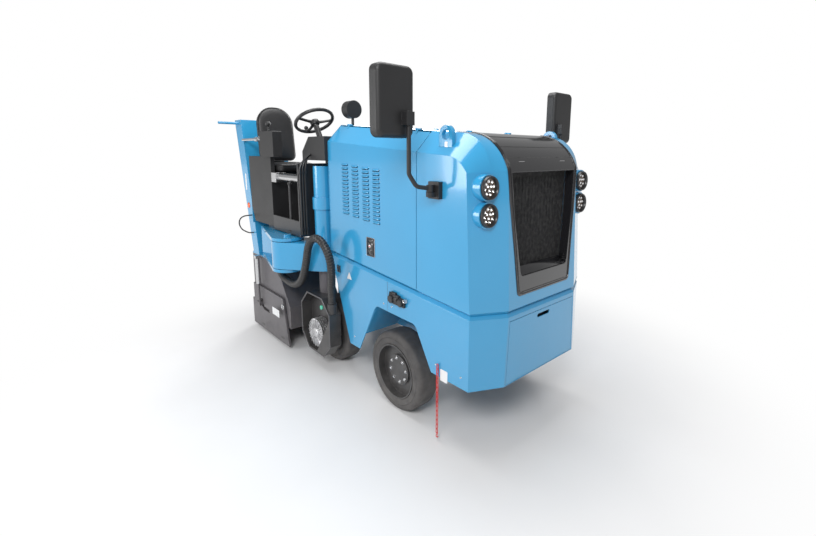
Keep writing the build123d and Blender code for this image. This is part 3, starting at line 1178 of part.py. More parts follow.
with BuildPart() as milling_drum:
    with BuildSketch(Plane.XZ.offset(-DRUM_RIGHT_Y)):
        with Locations((DRUM_X, DRUM_Z)):
            Circle(DRUM_TUBE_RADIUS)
    extrude(amount=-DRUM_WIDTH)
    with BuildSketch(Plane.XZ.offset(-(DRUM_RIGHT_Y + DRUM_DISC))):
        with Locations((DRUM_X, DRUM_Z)):
            Circle(DRUM_TUBE_RADIUS - DRUM_WALL)
    extrude(amount=-(DRUM_WIDTH - 2 * DRUM_DISC), mode=Mode.SUBTRACT)
    with BuildSketch(Plane.XZ.offset(-(DRUM_LEFT_Y - 2 * DRUM_DISC))):
        with Locations((DRUM_X, DRUM_Z)):
            Circle(STUB_SHAFT_RADIUS + RUN)
    extrude(amount=-3 * DRUM_DISC, mode=Mode.SUBTRACT)
    for number in range(PICKS):
        angle = radians(360 * PICK_TURNS * number / PICKS)
        pick_y = DRUM_RIGHT_Y + PICK_MARGIN + (DRUM_WIDTH - 2 * PICK_MARGIN) * number / (PICKS - 1)
        radial = Vector(cos(angle), 0, sin(angle))
        seat = Plane(
            origin=Vector(DRUM_X, pick_y, DRUM_Z) + radial * (DRUM_TUBE_RADIUS - PICK_ROOT),
            x_dir=(-sin(angle), 0, cos(angle)), z_dir=radial,
        )
        add(pick.part.moved(seat.location))
milling_drum.part.label = "milling_drum"
export_step(milling_drum.part, "parts/milling_drum.step")

PLATE_GAP = 5.0
PLATE_REAR_X = -1550.0
PLATE_FRONT_X = -610.0
PLATE_TOP_FRONT_X = -710.0
PLATE_STEP_X = -1500.0
PLATE_STEP_Z = 330.0
PLATE_CYLINDER_X = -1280.0
PLATE_ROD_RADIUS = 12.0
PLATE_BARREL_RADIUS = 24.0
PLATE_BARREL_Z = (560.0, 846.0)
PLATE_LUG_Z = 345.0
PLATE_LUG_HEIGHT = 40.0
PLATE_LUG_X = (-1345.0, -1260.0)
PLATE_CORNER = 20.0
PLATE_ROD_LAP = 60.0        # rod inside its barrel at rest
PLATE_BARREL_CAP = 12.0
PLATE_CYLINDER_FOOT = 34.0  # block that holds the barrel's top
PLATE_FOOT_HALF_X = 26.0
PLATE_FOOT_HALF_Y = 20.0
plate_outline = (
    (PLATE_REAR_X, SIDE_PLATE_LOW_Z), (PLATE_FRONT_X, SIDE_PLATE_LOW_Z),
    (PLATE_TOP_FRONT_X, SIDE_PLATE_TOP_Z - PLATE_CORNER),
    (PLATE_TOP_FRONT_X - PLATE_CORNER, SIDE_PLATE_TOP_Z),
    (PLATE_STEP_X, SIDE_PLATE_TOP_Z), (PLATE_STEP_X, PLATE_STEP_Z), (PLATE_REAR_X, PLATE_STEP_Z),
)
L_SLOT = (
    (-1300, 380), (-1300, 300), (-1240, 262), (-1080, 262),
    (-1080, 300), (-1215, 300), (-1255, 330), (-1255, 380),
)
# name, y of the inner face, outward side
PLATES = (
    ("side_plate_right", HOUSING_RIGHT_Y - PLATE_GAP, -1),
    ("side_plate_left", HOUSING_LEFT_Y + PLATE_GAP, 1),
)
for plate_name, inner_y, side in PLATES:
    rod_y = inner_y + side * (SIDE_PLATE + PLATE_BARREL_RADIUS + 1)
    with BuildPart() as side_plate:
        with BuildSketch(Plane.XZ.offset(-inner_y)):
            with BuildLine():
                Polyline(*plate_outline, close=True)
            make_face()
            if side < 0:
                with BuildLine():
                    Polyline(*L_SLOT, close=True)
                make_face(mode=Mode.SUBTRACT)
        extrude(amount=-side * SIDE_PLATE)
        reach = sorted((inner_y + side * SIDE_PLATE, rod_y + side * PLATE_ROD_RADIUS))
        box_between(
            (PLATE_LUG_X[0], reach[0], PLATE_LUG_Z - PLATE_LUG_HEIGHT),
            (PLATE_LUG_X[1], reach[1], PLATE_LUG_Z),
        )
        with BuildSketch(Plane.XY.offset(PLATE_LUG_Z)):
            with Locations((PLATE_CYLINDER_X, rod_y)):
                Circle(PLATE_ROD_RADIUS)
        extrude(amount=PLATE_BARREL_Z[0] + PLATE_ROD_LAP - PLATE_LUG_Z)
    side_plate.part.label = plate_name
    export_step(side_plate.part, f"parts/{plate_name}.step")

with BuildPart() as plate_cylinders:
    for plate_name, inner_y, side in PLATES:
        rod_y = inner_y + side * (SIDE_PLATE + PLATE_BARREL_RADIUS + 1)
        with BuildSketch(Plane.XY.offset(PLATE_BARREL_Z[0])):
            with Locations((PLATE_CYLINDER_X, rod_y)):
                Circle(PLATE_BARREL_RADIUS)
        extrude(amount=PLATE_BARREL_Z[1] - PLATE_BARREL_Z[0])
        with BuildSketch(Plane.XY.offset(PLATE_BARREL_Z[0])):
            with Locations((PLATE_CYLINDER_X, rod_y)):
                Circle(PLATE_ROD_RADIUS + SEAT)
        extrude(amount=PLATE_BARREL_Z[1] - PLATE_BARREL_Z[0] - PLATE_BARREL_CAP, mode=Mode.SUBTRACT)
        if side < 0:
            box_between(
                (PLATE_CYLINDER_X - PLATE_FOOT_HALF_X, rod_y - PLATE_BARREL_RADIUS, PLATE_BARREL_Z[1]),
                (
                    PLATE_CYLINDER_X + PLATE_FOOT_HALF_X, HOUSING_RIGHT_Y,
                    PLATE_BARREL_Z[1] + PLATE_CYLINDER_FOOT,
                ),
            )
        else:
            box_between(
                (PLATE_CYLINDER_X - PLATE_FOOT_HALF_X, rod_y - PLATE_FOOT_HALF_Y, PLATE_BARREL_Z[1]),
                (PLATE_CYLINDER_X + PLATE_FOOT_HALF_X, rod_y + PLATE_FOOT_HALF_Y, CARRIER_LOW_Z),
            )
plate_cylinders.part.label = "plate_cylinders"
export_step(plate_cylinders.part, "parts/plate_cylinders.step")

with BuildPart() as scraper:
    box_between(
        (SCRAPER_HINGE[0] - SCRAPER_SHEET / 2, HOUSING_RIGHT_Y, SCRAPER_LOW_Z),
        (SCRAPER_HINGE[0] + SCRAPER_SHEET / 2, HOUSING_LEFT_Y, SCRAPER_HINGE[1] - SCRAPER_NECK),
    )
    for barrel_y in SCRAPER_BARRELS_Y:
        with BuildSketch(Plane.XZ.offset(-(barrel_y - SCRAPER_BARREL / 2))):
            with Locations(SCRAPER_HINGE):
                Circle(SCRAPER_BARREL_RADIUS)
            with Locations((SCRAPER_HINGE[0], SCRAPER_HINGE[1] - SCRAPER_NECK / 2)):
                Rectangle(SCRAPER_SHEET, SCRAPER_NECK)
            with Locations(SCRAPER_HINGE):
                Circle(SCRAPER_PIN_RADIUS + SEAT, mode=Mode.SUBTRACT)
        extrude(amount=-SCRAPER_BARREL)
scraper.part.label = "scraper"
export_step(scraper.part, "parts/scraper.step")

# ---- Operator's station -----------------------------------------------------------------------------------
DECK_X = (-1500.0, -10.0)
DECK_Y = (-560.0, HALF_WIDTH - 10.0)
DECK_NOTCH_X = -300.0
DECK_NOTCH_Y = -500.0
STEP_X = (-450.0, -50.0)
STEP_LEVELS = (420.0, 700.0, 980.0)
STEP_Y = (DECK_Y[1] - 170.0, DECK_Y[1])
STEP_SHEET = 25.0
RAIL_TUBE = 17.0
RAIL_HEIGHT = 950.0
RAIL_SPAN = 900.0
RAIL_INSET = (40.0, 30.0)   # of the rail from the deck's rear and left edges
RAIL_POSTS = (0.02, 0.5, 0.98)
STEP_CHEEK_HALF = 10.0
WELL_X = (-880.0, -280.0)
WELL_Y = (-800.0, -300.0)
WELL_SHEET = 20.0
WELL_SILL = 120.0
WELL_INNER_TOP_Z = 1800.0
WELL_FRONT_TOP_Z = 1900.0
rail_y = DECK_Y[1] - RAIL_INSET[1]
rail_start_x = DECK_X[0] + RAIL_INSET[0]
with BuildPart() as platform:
    box_between((DECK_X[0], DECK_Y[0], DECK_Z - DECK), (DECK_X[1], DECK_Y[1], DECK_Z))
    cut_between(
        (DECK_NOTCH_X, DECK_Y[0], DECK_Z - DECK), (DECK_X[1], DECK_NOTCH_Y, DECK_Z)
    )
    with BuildSketch(Plane.XY.offset(DECK_Z - DECK)):
        with Locations((LEFT_COLUMN_X, LEFT_COLUMN_Y)):
            Circle(COLUMN_RADIUS + PLATE_GAP)
    extrude(amount=DECK, mode=Mode.SUBTRACT)
    for end_x in STEP_X:
        box_between(
            (end_x - STEP_CHEEK_HALF, STEP_Y[0], STEP_LEVELS[0]),
            (end_x + STEP_CHEEK_HALF, STEP_Y[1], DECK_Z - DECK),
        )
    for level in STEP_LEVELS:
        box_between((STEP_X[0], STEP_Y[0], level), (STEP_X[1], STEP_Y[1], level + STEP_SHEET))
    box_between((WELL_X[0], WELL_Y[0], DECK_Z - DECK), (WELL_X[1], WELL_Y[1], DECK_Z + WELL_SHEET))
    box_between((WELL_X[0], WELL_Y[1] - WELL_SHEET, DECK_Z), (WELL_X[1], WELL_Y[1], WELL_INNER_TOP_Z))
    box_between((WELL_X[1] - WELL_SHEET, WELL_Y[0], DECK_Z), (WELL_X[1], WELL_Y[1], WELL_FRONT_TOP_Z))
    box_between((WELL_X[0], WELL_Y[0], DECK_Z), (WELL_X[1], WELL_Y[0] + WELL_SHEET, DECK_Z + WELL_SILL))
    for height in (RAIL_HEIGHT / 2, RAIL_HEIGHT):
        with BuildSketch(Plane.YZ.offset(rail_start_x)):
            with Locations((rail_y, DECK_Z + height)):
                Circle(RAIL_TUBE)
        extrude(amount=RAIL_SPAN)
    for share in RAIL_POSTS:
        with BuildSketch(Plane.XY.offset(DECK_Z)):
            with Locations((rail_start_x + share * RAIL_SPAN, rail_y)):
                Circle(RAIL_TUBE - 2)
        extrude(amount=RAIL_HEIGHT)
platform.part.label = "platform"
export_step(platform.part, "parts/platform.step")

CABINET_X = (-1460.0, -880.0)
CABINET_Y = (-800.0, -360.0)
CABINET_TOP_Z = 1760.0
CABINET_WALL_TOP_Z = 1955.0
CABINET_WALL = 40.0
CABINET_CUT = (80.0, 160.0)    # slant at its lower rear corner
with BuildPart() as side_cabinet:
    with BuildSketch(Plane.XZ.offset(-CABINET_Y[0])):
        with BuildLine():
            Polyline(
                (CABINET_X[0] + CABINET_CUT[0], DECK_Z), (CABINET_X[1], DECK_Z),
                (CABINET_X[1], CABINET_TOP_Z), (CABINET_X[0], CABINET_TOP_Z),
                (CABINET_X[0], DECK_Z + CABINET_CUT[1]), close=True,
            )
        make_face()
    extrude(amount=-(CABINET_Y[1] - CABINET_Y[0]))
    box_between(
        (CABINET_X[0], CABINET_Y[0], CABINET_TOP_Z),
        (CABINET_X[1], CABINET_Y[0] + CABINET_WALL, CABINET_WALL_TOP_Z),
    )
side_cabinet.part.label = "side_cabinet"
export_step(side_cabinet.part, "parts/side_cabinet.step")

SIDE_TUBE_RADIUS = 38.0
SIDE_TUBE_Y = -750.0
SIDE_TUBE_Z = 1760.0
TUBE_CLAMP = (110.0, 50.0, 55.0)    # length, half width, drop below the tube's axis
with BuildPart() as side_rail:
    with BuildSketch(Plane.YZ.offset(WELL_X[0])):
        with Locations((SIDE_TUBE_Y, SIDE_TUBE_Z)):
            Circle(SIDE_TUBE_RADIUS)
    extrude(amount=WELL_X[1] - WELL_SHEET - WELL_X[0])
    box_between(
        (WELL_X[0], SIDE_TUBE_Y - TUBE_CLAMP[1], SIDE_TUBE_Z - TUBE_CLAMP[2]),
        (WELL_X[0] + TUBE_CLAMP[0], SIDE_TUBE_Y + TUBE_CLAMP[1], SIDE_TUBE_Z + SIDE_TUBE_RADIUS),
    )
side_rail.part.label = "side_rail"
export_step(side_rail.part, "parts/side_rail.step")

SEAT_X = (-1380.0, -830.0)
SEAT_Y = (-745.0, -305.0)
SEAT_LOW_Z = 1800.0
SEAT_TOP_Z = 1900.0
BACK_LOW_Z = 1880.0
BACK_THICK = 110.0
BACK_X = -1330.0
BACK_LEAN = 0.12
BACK_RISE = 25.0
seat_mid_x = (SEAT_X[0] + SEAT_X[1]) / 2
seat_mid_y = (SEAT_Y[0] + SEAT_Y[1]) / 2
seat_width = SEAT_Y[1] - SEAT_Y[0]
SPINE = 15.0
SPINE_HALF_WIDTH = 90.0
SPINE_TOP_Z = 2200.0
PEDESTAL_HALF = (180.0, 150.0)
CUSHION_CORNER = 90.0
CUSHION_ROUND = 30.0
CUSHION_REAR = 60.0         # cushion's rear edge from the seat's rear end
# y and z of the seat back's right half, from its foot: lower corner, waist, shoulder, crown
BACK_HALF = 200.0
BACK_WAIST_Z = 250.0
BACK_SHOULDER = (110.0, 530.0)
BACK_CROWN_Z = 575.0
BACK_SIDE_RADIUS = 420.0


def back_rear_x(z):
    """Where the rear face of the seat back is at height z, with the seat's clearance behind it."""
    half = BACK_THICK / 2 * sqrt(1 + BACK_LEAN**2)
    return BACK_X - half - SEAT - BACK_LEAN * (z - BACK_LOW_Z - BACK_RISE)


with BuildPart() as seat_pedestal:
    box_between(
        (seat_mid_x - PEDESTAL_HALF[0], seat_mid_y - PEDESTAL_HALF[1], CABINET_TOP_Z),
        (seat_mid_x + PEDESTAL_HALF[0], seat_mid_y + PEDESTAL_HALF[1], SEAT_LOW_Z - 1),
    )
    with BuildSketch(Plane.XZ.offset(-(seat_mid_y + SPINE_HALF_WIDTH))):
        with BuildLine():
            Polyline(
                (back_rear_x(SEAT_LOW_Z) - SPINE, SEAT_LOW_Z - SPINE), (seat_mid_x, SEAT_LOW_Z - SPINE),
                (seat_mid_x, SEAT_LOW_Z - 1), (back_rear_x(SEAT_LOW_Z), SEAT_LOW_Z - 1),
                (back_rear_x(SPINE_TOP_Z), SPINE_TOP_Z), (back_rear_x(SPINE_TOP_Z) - SPINE, SPINE_TOP_Z),
                close=True,
            )
        make_face()
    extrude(amount=2 * SPINE_HALF_WIDTH)
seat_pedestal.part.label = "seat_pedestal"
export_step(seat_pedestal.part, "parts/seat_pedestal.step")

with BuildPart() as seat_cushion:
    with BuildSketch(Plane.XY.offset(SEAT_LOW_Z)):
        with Locations((seat_mid_x + CUSHION_REAR / 2, seat_mid_y)):
            RectangleRounded(SEAT_X[1] - SEAT_X[0] - CUSHION_REAR, seat_width, CUSHION_CORNER)
    extrude(amount=SEAT_TOP_Z - SEAT_LOW_Z)
    fillet(faces().sort_by(Axis.Z)[-1].edges(), CUSHION_ROUND)
seat_cushion.part.label = "seat_cushion"
export_step(seat_cushion.part, "parts/seat_cushion.step")

back_plane = Plane(
    origin=(BACK_X, seat_mid_y, BACK_LOW_Z + BACK_RISE), x_dir=(0, 1, 0), z_dir=(1, 0, BACK_LEAN)
)
with BuildPart() as seat_back:
    with BuildSketch(back_plane):
        with BuildLine():
            half = BACK_HALF
            shoulder_y, back_shoulder_z = BACK_SHOULDER
            Polyline((-half, BACK_WAIST_Z), (-half, 0), (half, 0), (half, BACK_WAIST_Z))
            RadiusArc((half, BACK_WAIST_Z), (shoulder_y, back_shoulder_z), -BACK_SIDE_RADIUS)
            ThreePointArc((shoulder_y, back_shoulder_z), (0, BACK_CROWN_Z), (-shoulder_y, back_shoulder_z))
            RadiusArc((-shoulder_y, back_shoulder_z), (-half, BACK_WAIST_Z), -BACK_SIDE_RADIUS)
        make_face()
    extrude(amount=BACK_THICK / 2, both=True)
seat_back.part.label = "seat_back"
export_step(seat_back.part, "parts/seat_back.step")

BOX_X = (-1000.0, -680.0)
BOX_Y = (-850.0, -760.0)
BOX_Z = (1955.0, 2200.0)
BOX_ROUND = 12.0
LEVER_PLACE = (-880.0, -805.0)
LEVER = (8.0, 60.0)         # radius and length of the lever's stem
LEVER_KNOB_RADIUS = 26.0
with BuildPart() as control_box:
    box_between((BOX_X[0], BOX_Y[0], BOX_Z[0]), (BOX_X[1], BOX_Y[1], BOX_Z[1]))
    fillet(edges().filter_by(Axis.Y), BOX_ROUND)
    with Locations((*LEVER_PLACE, BOX_Z[1] + LEVER[1] / 2)):
        Cylinder(*LEVER)
    with Locations((*LEVER_PLACE, BOX_Z[1] + LEVER[1] + LEVER_KNOB_RADIUS / 2)):
        Sphere(LEVER_KNOB_RADIUS)
control_box.part.label = "control_box"
export_step(control_box.part, "parts/control_box.step")

CONSOLE_X = (-420.0, 2.0)
CONSOLE_Y = (-680.0, -420.0)
CONSOLE_Z = (1930.0, 2140.0)
CONSOLE_SLANT = 130.0
COLUMN_FOOT = (-280.0, -560.0, 2120.0)
WHEEL_CENTRE = (-390.0, -560.0, 2290.0)
WHEEL_RADIUS = 190.0
WHEEL_TUBE = 14.0
STEERING_COLUMN_RADIUS = 26.0
WHEEL_HUB = (38.0, 60.0, 75.0)      # radius, depth below the rim's plane, length
SPOKE = (30.0, 12.0)                # width and thickness
SPOKE_TURNS = (90, 210, 330)
SPINNER = (0.7, 0.6, 24.0, 60.0)    # place as shares of the wheel's radius, radius, height
CONSOLE_LEG = (30.0, 90.0, 40.0)    # from x, to x, and depth, from the console's rear left edge
column_axis = Vector(*WHEEL_CENTRE) - Vector(*COLUMN_FOOT)
wheel_plane = Plane(origin=WHEEL_CENTRE, x_dir=(0, 1, 0), z_dir=column_axis)
with BuildPart() as steering_console:
    with BuildSketch(Plane.XZ.offset(-CONSOLE_Y[0])):
        with BuildLine():
            Polyline(
                (CONSOLE_X[0], CONSOLE_Z[0]), (CONSOLE_X[1], CONSOLE_Z[0]), (CONSOLE_X[1], CONSOLE_Z[1]),
                (CONSOLE_X[0] + CONSOLE_SLANT, CONSOLE_Z[1]), (CONSOLE_X[0], CONSOLE_Z[1] - CONSOLE_SLANT),
                close=True,
            )
        make_face()
    extrude(amount=-(CONSOLE_Y[1] - CONSOLE_Y[0]))
    with BuildSketch(wheel_plane.offset(-column_axis.length)):
        Circle(STEERING_COLUMN_RADIUS)
    extrude(amount=column_axis.length - WHEEL_HUB[1])
    box_between(
        (CONSOLE_X[0] + CONSOLE_LEG[0], CONSOLE_Y[1] - CONSOLE_LEG[2], DECK_Z + WELL_SHEET),
        (CONSOLE_X[0] + CONSOLE_LEG[1], CONSOLE_Y[1], CONSOLE_Z[0]),
    )
steering_console.part.label = "steering_console"
export_step(steering_console.part, "parts/steering_console.step")

with BuildPart() as steering_wheel:
    with BuildSketch(Plane(origin=WHEEL_CENTRE, x_dir=column_axis, z_dir=(0, 1, 0))):
        with Locations((0, WHEEL_RADIUS - WHEEL_TUBE)):
            Circle(WHEEL_TUBE)
    revolve(axis=Axis(WHEEL_CENTRE, column_axis))
    with BuildSketch(wheel_plane.offset(-WHEEL_HUB[1] + SEAT)):
        Circle(WHEEL_HUB[0])
    extrude(amount=WHEEL_HUB[2])
    for turn in SPOKE_TURNS:
        spoke_way = Vector(0, 1, 0).rotate(Axis((0, 0, 0), column_axis), turn)
        spoke_plane = Plane(origin=WHEEL_CENTRE, x_dir=spoke_way, z_dir=column_axis)
        with BuildSketch(spoke_plane.offset(-SPOKE[1] / 2)):
            with Locations((WHEEL_RADIUS / 2, 0)):
                Rectangle(WHEEL_RADIUS - WHEEL_TUBE, SPOKE[0])
        extrude(amount=SPOKE[1])
    with BuildSketch(wheel_plane):
        with Locations((-WHEEL_RADIUS * SPINNER[0], WHEEL_RADIUS * SPINNER[1])):
            Circle(SPINNER[2])
    extrude(amount=SPINNER[3])
steering_wheel.part.label = "steering_wheel"
export_step(steering_wheel.part, "parts/steering_wheel.step")

# ---- Rear mast, beacon and cable ---------------------------------------------------------------------------
# x, z corners of the leaning post seen from the side
MAST_OUTLINE = ((-1500.0, 880.0), (-1340.0, 880.0), (-1640.0, 2350.0), (REAR_X, 2350.0))
MAST_RIGHT_Y = (-800.0, -620.0)
MAST_LEFT_Y = (-360.0, -300.0)
MAST_LEFT_OUTLINE = ((-1500.0, 1250.0), (-1440.0, 1250.0), (-1680.0, 2350.0), (-1740.0, 2350.0))
CROSSBAR_Z = (2280.0, 2350.0)
GRIP_RADIUS = 14.0
GRIP = (-1690.0, -1020.0, 2310.0)
CABINET_MARGIN = 10.0       # clear height over the cabinet's wall
with BuildPart() as rear_mast:
    for low_y, high_y, outline in (
        (MAST_RIGHT_Y[0], MAST_RIGHT_Y[1], MAST_OUTLINE), (MAST_LEFT_Y[0], MAST_LEFT_Y[1], MAST_LEFT_OUTLINE),
    ):
        with BuildSketch(Plane.XZ.offset(-low_y)):
            with BuildLine():
                Polyline(*outline, close=True)
            make_face()
        extrude(amount=-(high_y - low_y))
    box_between(
        (MAST_LEFT_OUTLINE[3][0], MAST_RIGHT_Y[1], CROSSBAR_Z[0]),
        (MAST_LEFT_OUTLINE[2][0], MAST_LEFT_Y[0], CROSSBAR_Z[1]),
    )
    with BuildSketch(Plane.XZ.offset(-MAST_RIGHT_Y[0])):
        with Locations((GRIP[0], GRIP[2])):
            Circle(GRIP_RADIUS)
    extrude(amount=MAST_RIGHT_Y[0] - GRIP[1])
    cut_between(
        (CABINET_X[0] - RUN, CABINET_Y[0] - 1, DECK_Z - DECK - RUN),
        (CABINET_X[1], CABINET_Y[1], CABINET_WALL_TOP_Z + CABINET_MARGIN),
    )
rear_mast.part.label = "rear_mast"
export_step(rear_mast.part, "parts/rear_mast.step")

BEACON_RADIUS = 55.0
BEACON_BASE = (8.0, 30.0)   # beyond the dome, height
BEACON_DOME = 110.0
BEACON_TAPER = 5.0
BEACON_ROUND = 20.0
beacon_x = (MAST_LEFT_OUTLINE[2][0] + MAST_LEFT_OUTLINE[3][0]) / 2
beacon_y = (MAST_LEFT_Y[0] + MAST_LEFT_Y[1]) / 2
with BuildPart() as beacon:
    with BuildSketch(Plane.XY.offset(CROSSBAR_Z[1])):
        with Locations((beacon_x, beacon_y)):
            Circle(BEACON_RADIUS + BEACON_BASE[0])
    extrude(amount=BEACON_BASE[1])
    with BuildSketch(Plane.XY.offset(CROSSBAR_Z[1] + BEACON_BASE[1])):
        with Locations((beacon_x, beacon_y)):
            Circle(BEACON_RADIUS)
    extrude(amount=BEACON_DOME, taper=BEACON_TAPER)
    fillet(faces().sort_by(Axis.Z)[-1].edges(), BEACON_ROUND)
beacon.part.label = "beacon"
export_step(beacon.part, "parts/beacon.step")

CABLE_RADIUS = 7.0
CABLE_ROUTE = (
    (-1480, -800, 1300), (-1480, -836, 1300), (-1497, -874, 1296), (-1530, -900, 1278), (-1562, -912, 1246),
    (-1580, -914, 1206), (-1574, -906, 1166), (-1548, -892, 1134), (-1514, -872, 1118), (-1482, -852, 1106),
    (-1465, -830, 1103), (-1465, -800, 1103),
)
with BuildPart() as mast_cable:
    add(cord_tube(CABLE_ROUTE, CABLE_RADIUS))
mast_cable.part.label = "mast_cable"
export_step(mast_cable.part, "parts/mast_cable.step")

# ---- Mirrors, work lamp, sighting chain -------------------------------------------------------------------
MIRROR_AXIS = (1400.0, HALF_WIDTH + 62.0)
BRACKET_SIZE = (100.0, 34.0, 110.0)
BRACKET_MID_Z = 1770.0
KNUCKLE_PLATE = (26.0, 30.0, 40.0)   # radius, thickness, drop below the bracket's middle
MIRROR_BOSS = (24.0, 44.0, 8.0)      # radius, length, drop below the bracket's middle
ARM_RADIUS = 14.0
ARM_BEND = 45.0
MIRROR_X = 1290.0
MIRROR_REACH = 208.0         # middle of the shell from the fold axis
MIRROR_Y = MIRROR_AXIS[1] + MIRROR_REACH
MIRROR_Z = 2308.0
MIRROR_SIZE = (80.0, 278.0, 427.0)
MIRROR_CORNER = 46.0
MIRROR_ROUND = 26.0         # of the shell's front edge
MIRROR_CLAMP = (20.0, 30.0, 2170.0, 2250.0)    # beyond the arm, half width, from z, to z
GLASS_RIM = 12.0
GLASS_DEPTH = 3.0
MIRROR_PIN_RADIUS = 10.0
MIRROR_PIN = 75.0
with BuildPart() as mirror_brackets:
    for side in (-1, 1):
        reach = sorted((side * HALF_WIDTH, side * (HALF_WIDTH + BRACKET_SIZE[1])))
        box_between(
            (MIRROR_AXIS[0] - BRACKET_SIZE[0] / 2, reach[0], BRACKET_MID_Z - BRACKET_SIZE[2] / 2),
            (MIRROR_AXIS[0] + BRACKET_SIZE[0] / 2, reach[1], BRACKET_MID_Z + BRACKET_SIZE[2] / 2),
        )
        with BuildSketch(Plane.XY.offset(BRACKET_MID_Z - KNUCKLE_PLATE[2])):
            with Locations((MIRROR_AXIS[0], side * MIRROR_AXIS[1])):
                Circle(KNUCKLE_PLATE[0])
            with Locations((MIRROR_AXIS[0], side * (MIRROR_AXIS[1] - KNUCKLE_PLATE[1] / 2))):
                Rectangle(2 * KNUCKLE_PLATE[0], KNUCKLE_PLATE[1])
        extrude(amount=KNUCKLE_PLATE[1])
        with BuildSketch(Plane.XY.offset(BRACKET_MID_Z - KNUCKLE_PLATE[2])):
            with Locations((MIRROR_AXIS[0], side * MIRROR_AXIS[1])):
                Circle(MIRROR_PIN_RADIUS)
        extrude(amount=MIRROR_PIN)
mirror_brackets.part.label = "mirror_brackets"
export_step(mirror_brackets.part, "parts/mirror_brackets.step")

# x, y beyond the fold axis, z of the corners of the arm's tube
MIRROR_ROUTE = (
    (1400.0, 10.0, 1785.0), (1385.0, 100.0, 1798.0), (1360.0, 140.0, 1875.0), (1360.0, 140.0, 2256.0),
)
for side, side_name in ((-1, "right"), (1, "left")):
    arm_y = side * (MIRROR_AXIS[1] + MIRROR_ROUTE[-1][1])
    with BuildPart() as mirror:
        with BuildSketch(Plane.YZ.offset(MIRROR_X - MIRROR_SIZE[0] / 2)):
            with Locations((side * MIRROR_Y, MIRROR_Z)):
                RectangleRounded(MIRROR_SIZE[1], MIRROR_SIZE[2], MIRROR_CORNER)
        extrude(amount=MIRROR_SIZE[0])
        fillet(faces().sort_by(Axis.X)[-1].edges(), MIRROR_ROUND)
        with BuildSketch(Plane.YZ.offset(MIRROR_X - MIRROR_SIZE[0] / 2)):
            with Locations((side * MIRROR_Y, MIRROR_Z)):
                RectangleRounded(
                    MIRROR_SIZE[1] - 2 * GLASS_RIM, MIRROR_SIZE[2] - 2 * GLASS_RIM, MIRROR_CORNER - GLASS_RIM
                )
        extrude(amount=GLASS_DEPTH, mode=Mode.SUBTRACT)
        with BuildLine() as arm_path:
            arm_points = [(x, side * (MIRROR_AXIS[1] + out), z) for x, out, z in MIRROR_ROUTE]
            FilletPolyline(*arm_points, radius=ARM_BEND)
        with BuildSketch(Plane(origin=arm_path.line @ 0, z_dir=arm_path.line % 0)):
            Circle(ARM_RADIUS)
        sweep(path=arm_path.line)
        with BuildSketch(Plane.XY.offset(BRACKET_MID_Z - MIRROR_BOSS[2])):
            with Locations((MIRROR_AXIS[0], side * MIRROR_AXIS[1])):
                Circle(MIRROR_BOSS[0])
        extrude(amount=MIRROR_BOSS[1])
        with BuildSketch(Plane.XY.offset(BRACKET_MID_Z - MIRROR_BOSS[2])):
            with Locations((MIRROR_AXIS[0], side * MIRROR_AXIS[1])):
                Circle(MIRROR_PIN_RADIUS + SEAT)
        extrude(amount=MIRROR_BOSS[1], mode=Mode.SUBTRACT)
        box_between(
            (MIRROR_X, arm_y - MIRROR_CLAMP[1], MIRROR_CLAMP[2]),
            (MIRROR_ROUTE[-1][0] + MIRROR_CLAMP[0], arm_y + MIRROR_CLAMP[1], MIRROR_CLAMP[3]),
        )
    mirror.part.label = f"mirror_{side_name}"
    export_step(mirror.part, f"parts/mirror_{side_name}.step")

WORK_LAMP = (100.0, -450.0, 2370.0)
WORK_LAMP_RADIUS = 75.0
WORK_LAMP_POST = 12.0
WORK_LAMP_BODY = (60.0, 90.0)    # behind its post, length
with BuildPart() as hood_work_lamp:
    post_low_z = top_z(WORK_LAMP[0] - WORK_LAMP_POST) + SEAT
    with BuildSketch(Plane.XY.offset(post_low_z)):
        with Locations(WORK_LAMP[:2]):
            Circle(WORK_LAMP_POST)
    extrude(amount=WORK_LAMP[2] - post_low_z)
    with BuildSketch(Plane.YZ.offset(WORK_LAMP[0] - WORK_LAMP_BODY[0])):
        with Locations(WORK_LAMP[1:]):
            Circle(WORK_LAMP_RADIUS)
    extrude(amount=WORK_LAMP_BODY[1])
hood_work_lamp.part.label = "hood_work_lamp"
export_step(hood_work_lamp.part, "parts/hood_work_lamp.step")

with BuildPart() as guide_chain:
    for number in range(CHAIN_LINKS):
        link_z = CHAIN_TOP_Z - number * CHAIN_PITCH
        if number % 2 == 0:
            link_plane, link_across = Plane.XZ.offset(-CHAIN_Y), CHAIN_X
        else:
            link_plane, link_across = Plane.YZ.offset(CHAIN_X), CHAIN_Y
        with BuildSketch(link_plane):
            with Locations((link_across, link_z)):
                RectangleRounded(LINK_SIZE[1], LINK_SIZE[0], LINK_SIZE[1] / 2 - 1)
                offset(amount=-LINK_WIRE, mode=Mode.SUBTRACT)
        extrude(amount=LINK_WIRE / 2, both=True)
guide_chain.part.label = "guide_chain"
export_step(guide_chain.part, "parts/guide_chain.step")
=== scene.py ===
"""Looks of the cold planer: finishes, soft seat, hoses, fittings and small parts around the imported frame.

Lengths are metres in the frame's axes: x forward, y to the left, z up from the floor.
"""
import json
from math import atan2, cos, pi, radians, sin

import bmesh
import bpy
from mathutils import Matrix, Vector


